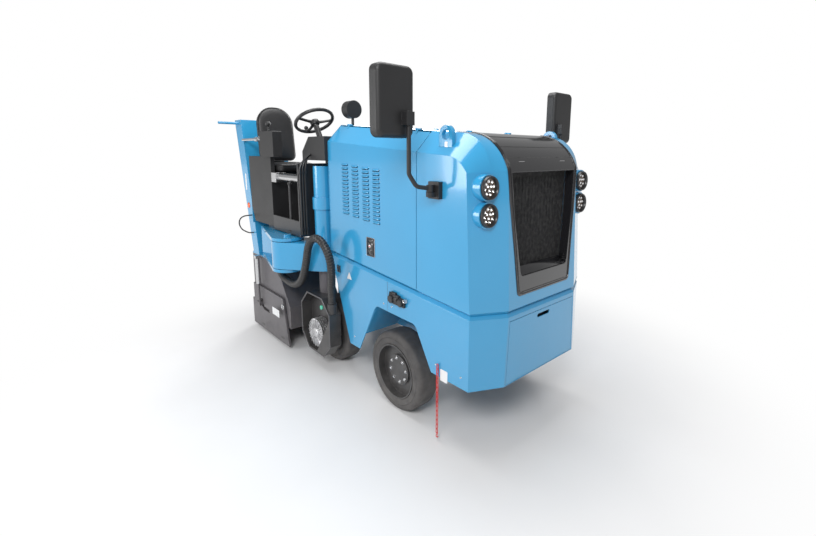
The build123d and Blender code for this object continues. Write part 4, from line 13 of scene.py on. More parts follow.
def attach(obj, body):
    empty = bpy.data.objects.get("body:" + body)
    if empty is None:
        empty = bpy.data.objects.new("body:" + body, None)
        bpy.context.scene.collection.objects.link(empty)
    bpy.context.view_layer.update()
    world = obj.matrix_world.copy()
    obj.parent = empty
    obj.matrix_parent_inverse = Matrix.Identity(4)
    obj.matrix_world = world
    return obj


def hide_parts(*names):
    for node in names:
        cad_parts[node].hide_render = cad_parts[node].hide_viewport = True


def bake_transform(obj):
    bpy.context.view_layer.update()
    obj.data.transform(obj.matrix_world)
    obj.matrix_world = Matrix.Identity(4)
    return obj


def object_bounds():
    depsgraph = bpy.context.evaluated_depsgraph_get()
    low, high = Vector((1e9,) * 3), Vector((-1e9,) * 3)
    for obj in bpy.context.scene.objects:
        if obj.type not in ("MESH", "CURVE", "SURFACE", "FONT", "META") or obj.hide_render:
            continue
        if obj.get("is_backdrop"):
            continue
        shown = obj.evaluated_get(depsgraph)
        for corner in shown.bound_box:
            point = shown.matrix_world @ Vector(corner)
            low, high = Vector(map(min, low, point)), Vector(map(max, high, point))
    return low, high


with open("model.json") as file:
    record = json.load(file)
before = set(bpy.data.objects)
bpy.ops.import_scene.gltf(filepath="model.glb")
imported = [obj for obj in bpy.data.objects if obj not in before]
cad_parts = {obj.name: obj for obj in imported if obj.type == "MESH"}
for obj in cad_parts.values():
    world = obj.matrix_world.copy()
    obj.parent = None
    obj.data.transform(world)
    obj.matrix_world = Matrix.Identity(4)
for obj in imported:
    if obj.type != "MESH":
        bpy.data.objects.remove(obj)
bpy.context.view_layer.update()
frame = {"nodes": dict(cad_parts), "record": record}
scene = bpy.context.scene

X = Vector((1, 0, 0))
Y = Vector((0, 1, 0))
Z = Vector((0, 0, 1))
TURN = 2 * pi
SIDES = (("right", -1), ("left", 1))
FALL = 0.0716  # fall of belt, shoulder and hood top towards the nose
HALF_WIDTH = 0.65
BELT_REAR_Z = 1.111
SHOULDER_REAR_Z = 2.096
DECK_Z = 1.249
WHEEL_Z = 0.317


def belt_z(x):
    """Height of the edge between hood and lower body."""
    return BELT_REAR_Z - FALL * x


def shoulder_z(x):
    """Height of the hood's upper side edge."""
    return SHOULDER_REAR_Z - FALL * x


# ---- Materials ----
MATERIALS = {}
COAT_ROUGHNESS = 0.08
PATCH_DETAIL = 6.0
GRAIN_DETAIL = 3.0
WORN_TURN = (1.0, 0.93)  # from no wear to full wear, as the cosine of the rounded edge's turn
WORN_SCALE = 38.0
WORN_SPREAD = (0.42, 0.62)
DUST_COLOUR = (0.34, 0.32, 0.3)
DUST_HEIGHT = (1.1, 0.1)  # from no dust down to the most of it
DUST_SCALE = 14.0
DUST_DETAIL = 8.0


class Graph:
    """Node tree of a material or world. Each call adds one node and returns its output."""

    def __init__(self, owner):
        owner.use_nodes = True
        self.nodes, self.links = owner.node_tree.nodes, owner.node_tree.links

    def put(self, socket, value):
        """Links value if it is another node's output, and otherwise sets it; a colour has three numbers."""
        if isinstance(value, bpy.types.NodeSocket):
            self.links.new(value, socket)
        else:
            socket.default_value = (*value, 1) if socket.type == "RGBA" else value

    def add(self, kind, output, inputs=None, **settings):
        node = self.nodes.new(kind)
        for name, value in settings.items():
            setattr(node, name, value)
        for socket, value in (inputs or {}).items():
            self.put(node.inputs[socket], value)
        return node.outputs[output]

    def place(self):
        return self.add("ShaderNodeTexCoord", "Object")

    def noise(self, where, scale, detail=2.0):
        return self.add("ShaderNodeTexNoise", "Fac", {"Vector": where, "Scale": scale, "Detail": detail})

    def map_range(self, value, ends, to=(0.0, 1.0), **settings):
        inputs = {"Value": value, "From Min": ends[0], "From Max": ends[1], "To Min": to[0], "To Max": to[1]}
        return self.add("ShaderNodeMapRange", "Result", inputs, **settings)

    def multiply(self, first, second):
        return self.add("ShaderNodeMath", "Value", {0: first, 1: second}, operation="MULTIPLY")

    def bump(self, height, strength, depth, normal):
        inputs = {"Height": height, "Strength": strength, "Distance": depth}
        if normal is not None:
            inputs["Normal"] = normal
        return self.add("ShaderNodeBump", "Normal", inputs)

    def mix_colour(self, factor, first, second):
        inputs = {"Factor": factor, "A": first, "B": second}
        return self.add("ShaderNodeMix", "Result", inputs, data_type="RGBA")

    def mix_shader(self, factor, first, second):
        return self.add("ShaderNodeMixShader", "Shader", {"Fac": factor, 1: first, 2: second})


def worn_edges(graph, where, rounded_normal):
    """1 where an edge is rubbed bare, in patches along the edges that the bevel rounds."""
    flat_normal = graph.add("ShaderNodeNewGeometry", "Normal")
    normals = {0: flat_normal, 1: rounded_normal}
    turn = graph.add("ShaderNodeVectorMath", "Value", normals, operation="DOT_PRODUCT")
    rub = graph.map_range(graph.noise(where, WORN_SCALE), WORN_SPREAD)
    return graph.multiply(graph.map_range(turn, WORN_TURN), rub)


def settled_dust(graph, where, most):
    """Share of dust over the colour, more towards the floor and in speckles."""
    height = graph.add("ShaderNodeSeparateXYZ", "Z", {"Vector": where})
    low = graph.map_range(height, DUST_HEIGHT, (0.0, most))
    return graph.multiply(low, graph.noise(where, DUST_SCALE, DUST_DETAIL))


def make_material(
    name, slot, colour, roughness, metallic=0.0, coat=0.0, variation=0.2, patch=2.5, grain=None, edge=0.0,
    dust=0.0, worn=None, stretch=None, creases=None, extra=None,
):
    """patch is the scale of patchy tone and shine, variation the tone's depth, grain the strength and size
    of a fine bump, creases the scale, strength and depth of leather cells, edge the rounding of edges."""
    material = bpy.data.materials.new(name)
    graph = Graph(material)
    shader = graph.nodes["Principled BSDF"].inputs
    plain = {"Metallic": metallic, "Coat Weight": coat, "Coat Roughness": COAT_ROUGHNESS, **(extra or {})}
    for socket, value in plain.items():
        graph.put(shader[socket], value)
    where = graph.place()
    patches = graph.noise(where, patch, PATCH_DETAIL)
    darker = [c * (1 - variation) for c in colour]
    lighter = [min(1, c * (1 + variation)) for c in colour]
    tone = graph.mix_colour(patches, darker, lighter)
    normal = graph.add("ShaderNodeBevel", "Normal", {"Radius": edge}, samples=4) if edge else None
    if worn:
        tone = graph.mix_colour(worn_edges(graph, where, normal), tone, worn)
    if dust:
        tone = graph.mix_colour(settled_dust(graph, where, dust), tone, DUST_COLOUR)
    graph.put(shader["Base Color"], tone)
    spread = (max(0.02, roughness * 0.8), min(1.0, roughness * 1.25))
    graph.put(shader["Roughness"], graph.map_range(patches, (0.0, 1.0), spread))
    if grain:
        if stretch:
            where = graph.add("ShaderNodeMapping", "Vector", {"Vector": where, "Scale": stretch})
        strength, size = grain
        normal = graph.bump(graph.noise(where, 1 / size, GRAIN_DETAIL), strength, size / 3, normal)
    if creases:
        scale, strength, depth = creases
        inputs = {"Vector": where, "Scale": scale}
        cells = graph.add("ShaderNodeTexVoronoi", "Distance", inputs, feature="DISTANCE_TO_EDGE")
        normal = graph.bump(cells, strength, depth, normal)
    if normal is not None:
        graph.put(shader["Normal"], normal)
    MATERIALS[name] = material


# Name, CAD material slot, colour and roughness of each finish, and where it differs from the plain one.
FINISHES = (
    ("enamel", "blue_paint", (0.03, 0.29, 0.545), 0.2,
     dict(coat=0.7, variation=0.1, patch=1.3, grain=(0.05, 0.012), edge=0.007, dust=0.1)),
    ("gloss_black", "gloss_black", (0.012, 0.012, 0.014), 0.16,
     dict(coat=0.8, grain=(0.06, 0.01), edge=0.008)),
    ("satin_black", "black_paint", (0.018, 0.018, 0.02), 0.38,
     dict(coat=0.2, variation=0.25, grain=(0.1, 0.004), edge=0.004, dust=0.25, worn=(0.12, 0.12, 0.12))),
    ("dark_steel", "dark_steel", (0.105, 0.1, 0.112), 0.42,
     dict(metallic=0.35, variation=0.22, patch=5.0, grain=(0.22, 0.004),
          edge=0.004, dust=0.35, worn=(0.42, 0.41, 0.4))),
    ("cast_grey", "cast_grey", (0.1, 0.1, 0.105), 0.55,
     dict(metallic=0.3, grain=(0.5, 0.003), edge=0.003, dust=0.2)),
    ("bright_steel", "bright_steel", (0.6, 0.6, 0.61), 0.24,
     dict(metallic=1.0, variation=0.12, patch=8.0, grain=(0.15, 0.002), edge=0.002, stretch=(1, 1, 0.1))),
    ("chrome", "bright_steel", (0.8, 0.8, 0.82), 0.08,
     dict(metallic=1.0, variation=0.05, grain=(0.02, 0.003), stretch=(1, 1, 0.05))),
    ("alloy", "motor_alloy", (0.62, 0.62, 0.63), 0.34,
     dict(metallic=0.9, variation=0.25, patch=14.0, grain=(0.35, 0.003), edge=0.002)),
    ("tyre", "tyre_rubber", (0.022, 0.021, 0.023), 0.62,
     dict(variation=0.35, patch=6.0, grain=(0.35, 0.0035), edge=0.004, dust=0.42)),
    ("hose", "hose_rubber", (0.016, 0.016, 0.017), 0.36,
     dict(variation=0.3, patch=20.0, grain=(0.15, 0.002), dust=0.18)),
    ("plastic", "black_plastic", (0.016, 0.016, 0.017), 0.44,
     dict(patch=4.0, grain=(0.45, 0.0016), edge=0.005, dust=0.15)),
    ("soft_plastic", "black_plastic", (0.022, 0.022, 0.023), 0.3, dict(grain=(0.12, 0.002), edge=0.003)),
    ("grey_rail", "dark_steel", (0.16, 0.155, 0.165), 0.33,
     dict(metallic=0.5, patch=9.0, grain=(0.2, 0.003), edge=0.003)),
    ("red_plastic", "red_plastic", (0.62, 0.012, 0.01), 0.14,
     dict(coat=0.6, variation=0.1, grain=(0.05, 0.006), extra={"Transmission Weight": 0.35, "IOR": 1.49})),
    ("red_paint", "red_paint", (0.62, 0.02, 0.018), 0.32,
     dict(coat=0.3, variation=0.15, patch=20.0, grain=(0.12, 0.002), dust=0.1)),
    ("orange", "red_paint", (0.85, 0.13, 0.02), 0.2,
     dict(coat=0.5, variation=0.15, patch=30.0, grain=(0.08, 0.004))),
    ("plate_white", "bright_steel", (0.74, 0.75, 0.76), 0.34,
     dict(variation=0.06, patch=12.0, grain=(0.08, 0.003), dust=0.15)),
    ("led_lens", "lamp_glass", (0.88, 0.86, 0.8), 0.06,
     dict(coat=1.0, variation=0.05,
          extra={"Emission Color": (1.0, 0.96, 0.88), "Emission Strength": 0.25, "IOR": 1.5})),
    ("lens", "lamp_glass", (0.96, 0.97, 0.98), 0.04,
     dict(variation=0.01, extra={"Transmission Weight": 1.0, "IOR": 1.45})),
    ("bronze", "bright_steel", (0.16, 0.12, 0.09), 0.3,
     dict(metallic=0.8, patch=30.0, grain=(0.1, 0.002))),
    ("mirror", "lamp_glass", (0.82, 0.84, 0.86), 0.03, dict(metallic=1.0, variation=0.02)),
    ("green", "motor_alloy", (0.05, 0.45, 0.3), 0.3, dict(coat=0.4, variation=0.1, grain=(0.1, 0.002))),
    ("core", "beige_metal", (0.05, 0.052, 0.056), 0.5,
     dict(metallic=0.5, variation=0.3, patch=10.0, grain=(0.3, 0.002))),
    ("vinyl", "seat_vinyl", (0.014, 0.014, 0.015), 0.42, dict(patch=7.0, creases=(420.0, 0.35, 0.0006))),
)
for name, slot, colour, roughness, rest in FINISHES:
    make_material(name, slot, colour, roughness, **rest)

# Finish of each CAD material slot whose finish has another name.
CAD_FINISH = {
    "blue_paint": "enamel", "black_paint": "satin_black", "motor_alloy": "alloy", "tyre_rubber": "tyre",
    "hose_rubber": "hose", "black_plastic": "plastic", "seat_vinyl": "vinyl", "lamp_glass": "lens",
    "beige_metal": "core",
}
for subpart in frame["record"]["subparts"]:
    node = frame["nodes"][subpart["node"]]
    slot = subpart["material_slot"]
    finish = MATERIALS[CAD_FINISH.get(slot, slot)]
    if not node.material_slots:
        node.data.materials.append(finish)
    for place in node.material_slots:
        place.material = finish


# ---- Shapes ----
def basis(place, out, up=(0, 0, 1)):
    """Frame at place whose z axis points out and whose y axis is as near to up as it can be."""
    z_axis = Vector(out).normalized()
    x_axis = Vector(up).cross(z_axis)
    if x_axis.length < 1e-6:
        x_axis = Y.copy()  # out and up are both vertical
    x_axis.normalize()
    matrix = Matrix((x_axis, z_axis.cross(x_axis), z_axis)).transposed().to_4x4()
    matrix.translation = Vector(place)
    return matrix


def shifted(at, x=0.0, y=0.0, z=0.0):
    return at @ Matrix.Translation((x, y, z))


def turned(at, angle):
    return at @ Matrix.Rotation(angle, 4, "Z")


PLATE_THICK = 0.001
PLATE_BACK = 0.0006  # how far a plate reaches into what it lies on


def linked(name, data):
    """New object of the scene."""
    made = bpy.data.objects.new(name, data)
    scene.collection.objects.link(made)
    return made


def disc(radius, low, high):
    """Profile of a plain round disc or post, for Shape.lathe."""
    return (0, low), (radius, low), (radius, high), (0, high)


ORIGIN = Matrix.Identity(4)


class Shape:
    """Mesh under construction. Each method adds one form, placed by a matrix."""

    def __init__(self):
        self.bm = bmesh.new()

    def faces(self, points, faces, at=ORIGIN, bevel=0.0, segments=2):
        verts = [self.bm.verts.new(at @ Vector(point)) for point in points]
        made = [self.bm.faces.new([verts[index] for index in face]) for face in faces]
        if bevel:
            edges = list(dict.fromkeys(edge for face in made for edge in face.edges))
            bmesh.ops.bevel(
                self.bm, geom=edges, offset=bevel, segments=segments, profile=0.5, affect="EDGES",
                clamp_overlap=True,
            )
        return self

    def box(self, low, high, bevel=0.0, at=ORIGIN):
        outline = ((low[0], low[1]), (high[0], low[1]), (high[0], high[1]), (low[0], high[1]))
        return self.prism(outline, low[2], high[2], bevel, at)

    def prism(self, outline, low, high, bevel=0.0, at=ORIGIN, segments=2):
        count = len(outline)
        points = [*at_height(outline, low), *at_height(outline, high)]
        sides = [(i, (i + 1) % count, (i + 1) % count + count, i + count) for i in range(count)]
        ends = [tuple(range(count))[::-1], tuple(range(count, 2 * count))]
        return self.faces(points, sides + ends, at, bevel, segments)

    def lathe(self, profile, at=ORIGIN, sides=32, closed=False):
        """profile: (radius, height) pairs, from the axis to the axis, or round a ring if closed."""
        rings = []
        for radius, height in profile:
            count = 1 if radius < 1e-7 else sides
            angles = [TURN * index / sides for index in range(count)]
            points = [(radius * cos(angle), radius * sin(angle), height) for angle in angles]
            rings.append([self.bm.verts.new(at @ Vector(point)) for point in points])
        return self.skin(rings, closed)

    def loft(self, rings, at=ORIGIN):
        """Closed form through rings of equally many points, capped at both ends."""
        rows = [[self.bm.verts.new(at @ Vector(point)) for point in ring] for ring in rings]
        return self.skin(rows).caps(rows)

    def tube(self, points, radius, sides=10, closed=False, at=ORIGIN):
        """Round tube through points; radius is a number or a function of the point's number and the angle."""
        points = [at @ Vector(point) for point in points]
        count = len(points)
        across = None
        rings = []
        for index, point in enumerate(points):
            before = points[index - 1] if index or closed else point
            after = points[(index + 1) % count] if index < count - 1 or closed else point
            along = (after - before).normalized()
            if across is None:
                across = along.cross(Z) if abs(along.z) < 0.9 else along.cross(X)
            across = (across - along * across.dot(along)).normalized()
            side = along.cross(across)
            ring = []
            for step in range(sides):
                angle = TURN * step / sides
                size = radius(index, angle) if callable(radius) else radius
                spoke = across * cos(angle) + side * sin(angle)
                ring.append(self.bm.verts.new(point + spoke * size))
            rings.append(ring)
        self.skin(rings, closed)
        return self if closed else self.caps(rings)

    def skin(self, rings, closed=False):
        """Faces from ring to ring, where a ring of one vertex is a point on the axis."""
        for low, high in zip(rings, rings[1:] + rings[:1] if closed else rings[1:]):
            sides = max(len(low), len(high))
            for index in range(sides):
                corners = [ring[step % len(ring)] for ring, step in
                           ((low, index), (low, index + 1), (high, index + 1), (high, index))]
                unique = list(dict.fromkeys(corners))
                if len(unique) > 2:
                    self.bm.faces.new(unique)
        return self

    def caps(self, rings):
        self.bm.faces.new(rings[0][::-1])
        self.bm.faces.new(rings[-1])
        return self

    def plate(self, width, height, radius, at, thick=PLATE_THICK):
        """Thin rounded plate that lies on the plane of at."""
        return self.prism(rounded(width, height, radius), -PLATE_BACK, thick, 0, at)

    def bolt(self, at, size):
        """Hex bolt head on a washer, standing on the plane of at."""
        washer, top, across = size * 0.18, size * 0.75, size * 0.75
        self.lathe(disc(size, 0, washer), at, 16)
        head = [(cos(pi / 3 * k) * across, sin(pi / 3 * k) * across) for k in range(6)]
        return self.prism(head, washer, top, size * 0.08, at, 1)

    def done(self, name, material, body="root", replaces=None, smooth=35):
        """The finished piece: an object that rides on its body and takes its material."""
        mesh = bpy.data.meshes.new(name)
        bmesh.ops.recalc_face_normals(self.bm, faces=self.bm.faces)
        self.bm.to_mesh(mesh)
        self.bm.free()
        piece = linked(name, mesh)
        mesh.materials.append(MATERIALS[material])
        if smooth:
            mesh.shade_smooth()
            mesh.set_sharp_from_angle(angle=radians(smooth))
        if body:
            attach(piece, body)
        if replaces:
            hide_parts(replaces)
        return piece


def at_height(outline, z):
    """Points of a flat outline at height z."""
    return [(x, y, z) for x, y in outline]


def smooth_path(points, steps=6):
    """Catmull-Rom line through points, for pipes and straps."""
    points = [Vector(point) for point in points]
    padded = [2 * points[0] - points[1], *points, 2 * points[-1] - points[-2]]
    line = []
    for p0, p1, p2, p3 in zip(padded, padded[1:], padded[2:], padded[3:]):
        for step in range(steps):
            t = step / steps
            line.append(
                0.5 * (2 * p1 + (p2 - p0) * t + (2 * p0 - 5 * p1 + 4 * p2 - p3) * t**2
                       + (3 * p1 - p0 - 3 * p2 + p3) * t**3)
            )
    line.append(points[-1])
    return line


def nurbs_line(route):
    """Points along the NURBS spline that has the route as its control points."""
    curve = bpy.data.curves.new("route", "CURVE")
    curve.dimensions = "3D"
    spline = curve.splines.new("NURBS")
    spline.points.add(len(route) - 1)
    for place, point in zip(spline.points, route):
        place.co = (*point, 1)
    spline.order_u = 3
    spline.use_endpoint_u = True
    spline.resolution_u = 16
    holder = linked("route", curve)
    bpy.context.view_layer.update()
    line = [vertex.co.copy() for vertex in bpy.data.meshes.new_from_object(holder).vertices]
    bpy.data.objects.remove(holder)
    bpy.data.curves.remove(curve)
    return line


def even_line(line, step):
    """Points spaced evenly along a line."""
    result = [line[0].copy()]
    carried = 0.0
    for start, end in zip(line, line[1:]):
        length = (end - start).length
        place = step - carried
        while place <= length:
            result.append(start.lerp(end, place / length))
            place += step
        carried = (carried + length) % step
    result.append(line[-1].copy())
    return result


def between(table, z):
    """Straight-line value at z of a table of (z, value) pairs."""
    for (low, first), (high, last) in zip(table, table[1:]):
        if z <= high:
            return first + (last - first) * (z - low) / (high - low)
    return table[-1][1]


def rounded(width, height, radius, steps=4, top=None):
    """Outline of a rounded rectangle round the origin; top is the radius of its two upper corners."""
    top = top or radius
    outline = []
    for corner, (cx, cy, bend) in enumerate(((1, 1, top), (-1, 1, top), (-1, -1, radius), (1, -1, radius))):
        for step in range(steps + 1):
            angle = pi / 2 * (corner + step / steps)
            outline.append(
                (cx * (width / 2 - bend) + bend * cos(angle),
                 cy * (height / 2 - bend) + bend * sin(angle))
            )
    return outline


def on_side(x, z, side):
    """Frame on the machine's side at x and z: x forward or back along it, y up, z outward."""
    return basis((x, side * HALF_WIDTH, z), (0, side, 0))


def ring_of(count, radius, turn=0.0):
    """Places round a circle in a frame's plane."""
    angles = [turn + TURN * k / count for k in range(count)]
    return [(radius * cos(angle), radius * sin(angle)) for angle in angles]


# ---- Camera, light and floor ----
CAMERA_PLACE = (3.444, -2.561, 2.014)
CAMERA_YAW = 137.586
CAMERA_PITCH = -10.087
CAMERA_ROLL = 0.36
SENSOR_MM = 36.0
LENS_MM = 19.13515
LENS_SHIFT = (-0.029289, -0.048088)
SKY_LIGHT = 0.42
WHITE = (1.0, 1.0, 1.0)
LIGHTS = (  # name, place, target, size and power
    ("key", (4.5, -5.5, 5.5), (0.4, -0.4, 1.0), (3.0, 2.0), 330),
    ("top", (0.3, 0.0, 6.0), (0.2, 0.0, 0.0), (4.0, 3.0), 220),
    ("side", (-2.5, -6.0, 2.4), (0.0, -0.6, 1.2), (2.5, 2.5), 130),
    ("rear", (-5.0, 4.0, 4.0), (0, 0, 1.2), (3.0, 3.0), 200),
)
FLOOR_CENTRE = (0.3, 0.0, 0.0)
FLOOR_FADE = (1.6, 3.6)  # where the floor starts to turn white, and where it is all white
FLOOR_TONES = ((0.7, 0.7, 0.71), (0.82, 0.82, 0.82))
FLOOR_REACH = 60.0


def make_camera():
    yaw, pitch, roll = (radians(angle) for angle in (CAMERA_YAW, CAMERA_PITCH, CAMERA_ROLL))
    forward = Vector((cos(yaw) * cos(pitch), sin(yaw) * cos(pitch), sin(pitch)))
    level = forward.cross(Z).normalized()
    right = level * cos(roll) + level.cross(forward) * sin(roll)
    data = bpy.data.cameras.new("camera")
    data.sensor_width = SENSOR_MM
    data.lens = LENS_MM
    data.shift_x, data.shift_y = LENS_SHIFT
    data.clip_start, data.clip_end = 0.05, 200
    camera = linked("camera", data)
    matrix = Matrix((right, right.cross(forward), -forward)).transposed().to_4x4()
    matrix.translation = Vector(CAMERA_PLACE)
    camera.matrix_world = matrix
    scene.camera = camera


def make_light(name, place, target, size, power):
    data = bpy.data.lights.new(name, "AREA")
    data.shape = "RECTANGLE"
    data.size, data.size_y = size
    data.energy = power
    lamp = linked(name, data)
    lamp.location = place
    lamp.rotation_mode = "QUATERNION"
    lamp.rotation_quaternion = (Vector(target) - Vector(place)).to_track_quat("-Z", "Y")


def make_sky():
    """Even soft light, and plain white where the camera sees past the floor."""
    world = bpy.data.worlds.new("studio")
    scene.world = world
    graph = Graph(world)
    lit = graph.nodes["Background"]
    graph.put(lit.inputs["Color"], WHITE)
    lit.inputs["Strength"].default_value = SKY_LIGHT
    seen = graph.add("ShaderNodeBackground", "Background", {"Color": WHITE, "Strength": 1.0})
    camera_ray = graph.add("ShaderNodeLightPath", "Is Camera Ray")
    either = graph.mix_shader(camera_ray, lit.outputs["Background"], seen)
    graph.put(graph.nodes["World Output"].inputs["Surface"], either)


def make_floor():
    """Pale floor that takes the shadow and fades to white round the machine."""
    material = bpy.data.materials.new("floor")
    graph = Graph(material)
    shader = graph.nodes["Principled BSDF"]
    patches = graph.noise(graph.place(), 0.8, 8.0)
    graph.put(shader.inputs["Base Color"], graph.mix_colour(patches, *FLOOR_TONES))
    shader.inputs["Roughness"].default_value = 0.42
    white = graph.add("ShaderNodeEmission", "Emission", {"Strength": 1.0})
    ends = {0: graph.place(), 1: FLOOR_CENTRE}
    reach = graph.add("ShaderNodeVectorMath", "Value", ends, operation="DISTANCE")
    fade = graph.map_range(reach, FLOOR_FADE, interpolation_type="SMOOTHERSTEP")
    mix = graph.mix_shader(fade, shader.outputs["BSDF"], white)
    graph.put(graph.nodes["Material Output"].inputs["Surface"], mix)
    mesh = bpy.data.meshes.new("floor")
    corners = [(x * FLOOR_REACH, y * FLOOR_REACH, 0) for x, y in ((-1, -1), (1, -1), (1, 1), (-1, 1))]
    mesh.from_pydata(corners, [], [(0, 1, 2, 3)])
    mesh.materials.append(material)
    linked("floor", mesh)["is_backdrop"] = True


# ---- Nose: lamps and grille ----
NOSE_X = 1.82
NOSE_TOP = (1.775, 1.9)  # x and z where the nose ends and the curve over it starts
CURVE_TOP = (1.465, 2.1364)  # and where the curve ends on the hood top
FRAME_PROUD = 0.003
FRAME_FOOT_Z = 1.08
FRAME_HALVES = ((FRAME_FOOT_Z, 0.312), (1.34, 0.34), (1.71, 0.39), (1.9, 0.405), (2.3, 0.405))
MESH_HALVES = ((1.21, 0.276), (1.6, 0.34), (1.888, 0.366))
MESH_INSET = 0.062
MESH_PITCH = 0.0075
MESH_TUCK = 0.004  # the wires' reach behind the frame
WIRE = 0.0009
LAMP_X = 1.752
LAMP_Y = HALF_WIDTH - 0.11
LAMP_Z = (1.8, 1.63)
LAMP_RIM = (
    (0.0575, -0.054), (0.0738, -0.054), (0.0738, 0.003), (0.0715, 0.01), (0.0655, 0.011), (0.06, 0.005),
    (0.0575, -0.012),
)
LAMP_DISH = ((0, -0.018), (0.034, -0.017), (0.0585, -0.011), (0.0585, -0.03), (0, -0.03))
DIODE_RINGS = ((8, 0.041, 0.2), (3, 0.017, 0.5))  # diodes in each ring, its radius and its turn
DIODE_DEPTH = -0.0145
DIODE_CUP = ((0.0066, 0), (0.0108, 0.006), (0.0098, 0.0066), (0.0056, 0.001))
DIODE = ((0, 0.0042), (0.0042, 0.003), (0.006, 0.0), (0, 0))
RIDGES = ((0.01, 0.005), (0.024, 0.0035))  # inset from the frame's edge, and radius
RIDGE_LOW_Z = 1.12
RIDGE_TURN = ((1.097, 0.01), (1.084, 0.034))  # z and inset of the two points round the frame's foot
SEAM_STEPS = (4, 7, 11)  # points of the line over the nose that carry a seam
MARK_STEP = 3
MARK_Y = 0.24
MARK_HALF = 0.032
SILL_Z = (1.2105, 1.262)
SILL_FACES = ((0, 1, 2), (5, 4, 3), (0, 2, 5, 3), (0, 3, 4, 1), (1, 4, 5, 2))
RIB_Z = (1.235, 1.251, 1.267)
SHROUD_X = (1.69, 1.6935)
SHROUD_Z = (1.196, 1.896)
SHROUD_HALF = 0.376
RADIATOR_HALF = 0.298
RADIATOR_Z = (1.19, 1.848)
FIN_X = (1.6895, 1.6955)
FINS = (66, 1.205, 0.0098, 0.0016)  # count, lowest z, pitch and thickness
TUBES = (16, -0.285, 0.038, 0.004)  # count, first y, pitch and half width


def nose_x(z):
    """x of the nose's leaning middle face at height z."""
    lean = (NOSE_X - NOSE_TOP[0]) / (NOSE_TOP[1] - belt_z(NOSE_X))
    return NOSE_X - lean * (z - belt_z(NOSE_X))


def over_nose(low_z, steps=14):
    """x and z along the frame's middle, from low_z up and over the nose's curve."""
    start, end = Vector(CURVE_TOP), Vector(NOSE_TOP)
    down = Vector((-FALL, -1)).normalized()
    chord = end - start
    radius = chord.length_squared / (2 * down.dot(chord))
    centre = start + down * radius
    first = atan2(end.y - centre.y, end.x - centre.x)
    last = atan2(start.y - centre.y, start.x - centre.x)
    reach = radius + FRAME_PROUD
    line = [(nose_x(low_z) + FRAME_PROUD, low_z)]
    for step in range(steps + 1):
        angle = first + (last - first) * step / steps
        line.append((centre.x + reach * cos(angle), centre.y + reach * sin(angle)))
    return line


def front_lamps():
    """Round lamps in the nose: rim, bronze dish and a ring of diodes round a second one."""
    rims, dishes, cups, cells = Shape(), Shape(), Shape(), Shape()
    for _, side in SIDES:
        for lamp_z in LAMP_Z:
            at = basis((LAMP_X, side * LAMP_Y, lamp_z), X)
            rims.lathe(LAMP_RIM, at, 48, closed=True)
            dishes.lathe(LAMP_DISH, at, 48)
            for count, radius, turn in DIODE_RINGS:
                for x, y in ring_of(count, radius, turn):
                    place = shifted(at, x, y, DIODE_DEPTH)
                    cups.lathe(DIODE_CUP, place, 16, True)
                    cells.lathe(DIODE, place, 12)
    rims.done("lamp_rims", "soft_plastic", replaces="front_lamps")
    dishes.done("lamp_dishes", "bronze")
    cups.done("lamp_cups", "chrome")
    cells.done("lamp_cells", "led_lens")


def grille_mesh():
    """Level and upright wires across the grille's opening."""
    wires = Shape()
    low_z, high_z = MESH_HALVES[0][0] - MESH_TUCK, MESH_HALVES[-1][0] + MESH_TUCK
    rows = round((high_z - low_z) / MESH_PITCH)
    heights = [low_z + row * MESH_PITCH for row in range(rows + 1)]
    halves = [between(MESH_HALVES, z) + MESH_TUCK for z in heights]
    for z, half in zip(heights, halves):
        x = nose_x(z) - MESH_INSET - WIRE
        wires.tube(((x, -half, z), (x, half, z)), WIRE, 4)
    widest = MESH_HALVES[-1][1] + MESH_TUCK
    for column in range(round(2 * widest / MESH_PITCH) + 1):
        y = -widest + column * MESH_PITCH
        inside = [z for z, half in zip(heights[:-1], halves) if half > abs(y)]
        if inside:
            ends = [(nose_x(z) - MESH_INSET + WIRE, y, z) for z in (inside[0], high_z)]
            wires.tube(ends, WIRE, 4)
    wires.done("grille_wires", "satin_black", replaces="grille_mesh", smooth=0)


def grille_ridges(line):
    """Ridges that run round the frame, and seams over its curve."""
    ridges = Shape()
    (turn_z, turn_inset), (end_z, end_inset) = RIDGE_TURN
    for inset, radius in RIDGES:
        right = [(x, -(between(FRAME_HALVES, z) - inset), z) for x, z in line]
        low_half = between(FRAME_HALVES, FRAME_FOOT_Z) - inset
        foot = [
            (nose_x(turn_z) + FRAME_PROUD, -low_half + turn_inset, turn_z),
            (nose_x(end_z) + FRAME_PROUD, -low_half + end_inset, FRAME_FOOT_Z + inset),
        ]
        half_path = right[::-1] + foot
        mirrored = [(x, -y, z) for x, y, z in half_path[::-1]]
        ridges.tube(half_path + mirrored, radius, 8)
    for step in SEAM_STEPS:
        x, z = line[step]
        half = between(FRAME_HALVES, z) - 0.03
        ridges.tube(((x, -half, z), (x, half, z)), 0.0022, 6)
    ridges.done("grille_ridges", "gloss_black")


def grille_sill():
    """Sloping sill of the grille's recess, with short ribs at its ends."""
    sill = Shape()
    half = MESH_HALVES[0][1] - MESH_TUCK
    low_z, high_z = SILL_Z
    front, back = nose_x(1.211) - 0.004, nose_x(1.25) - 0.058
    profile = ((front, low_z), (back, low_z), (back, high_z))
    points = [(x, side * half, z) for side in (-1, 1) for x, z in profile]
    sill.faces(points, SILL_FACES, bevel=0.004)
    for _, side in SIDES:
        for z in RIB_Z:
            y = side * (between(MESH_HALVES, z) - 0.006)
            sill.box((nose_x(z) - 0.052, y - 0.004, z), (nose_x(z) - 0.012, y + 0.004, z + 0.005), 0.0015)
    sill.done("grille_sill", "gloss_black")


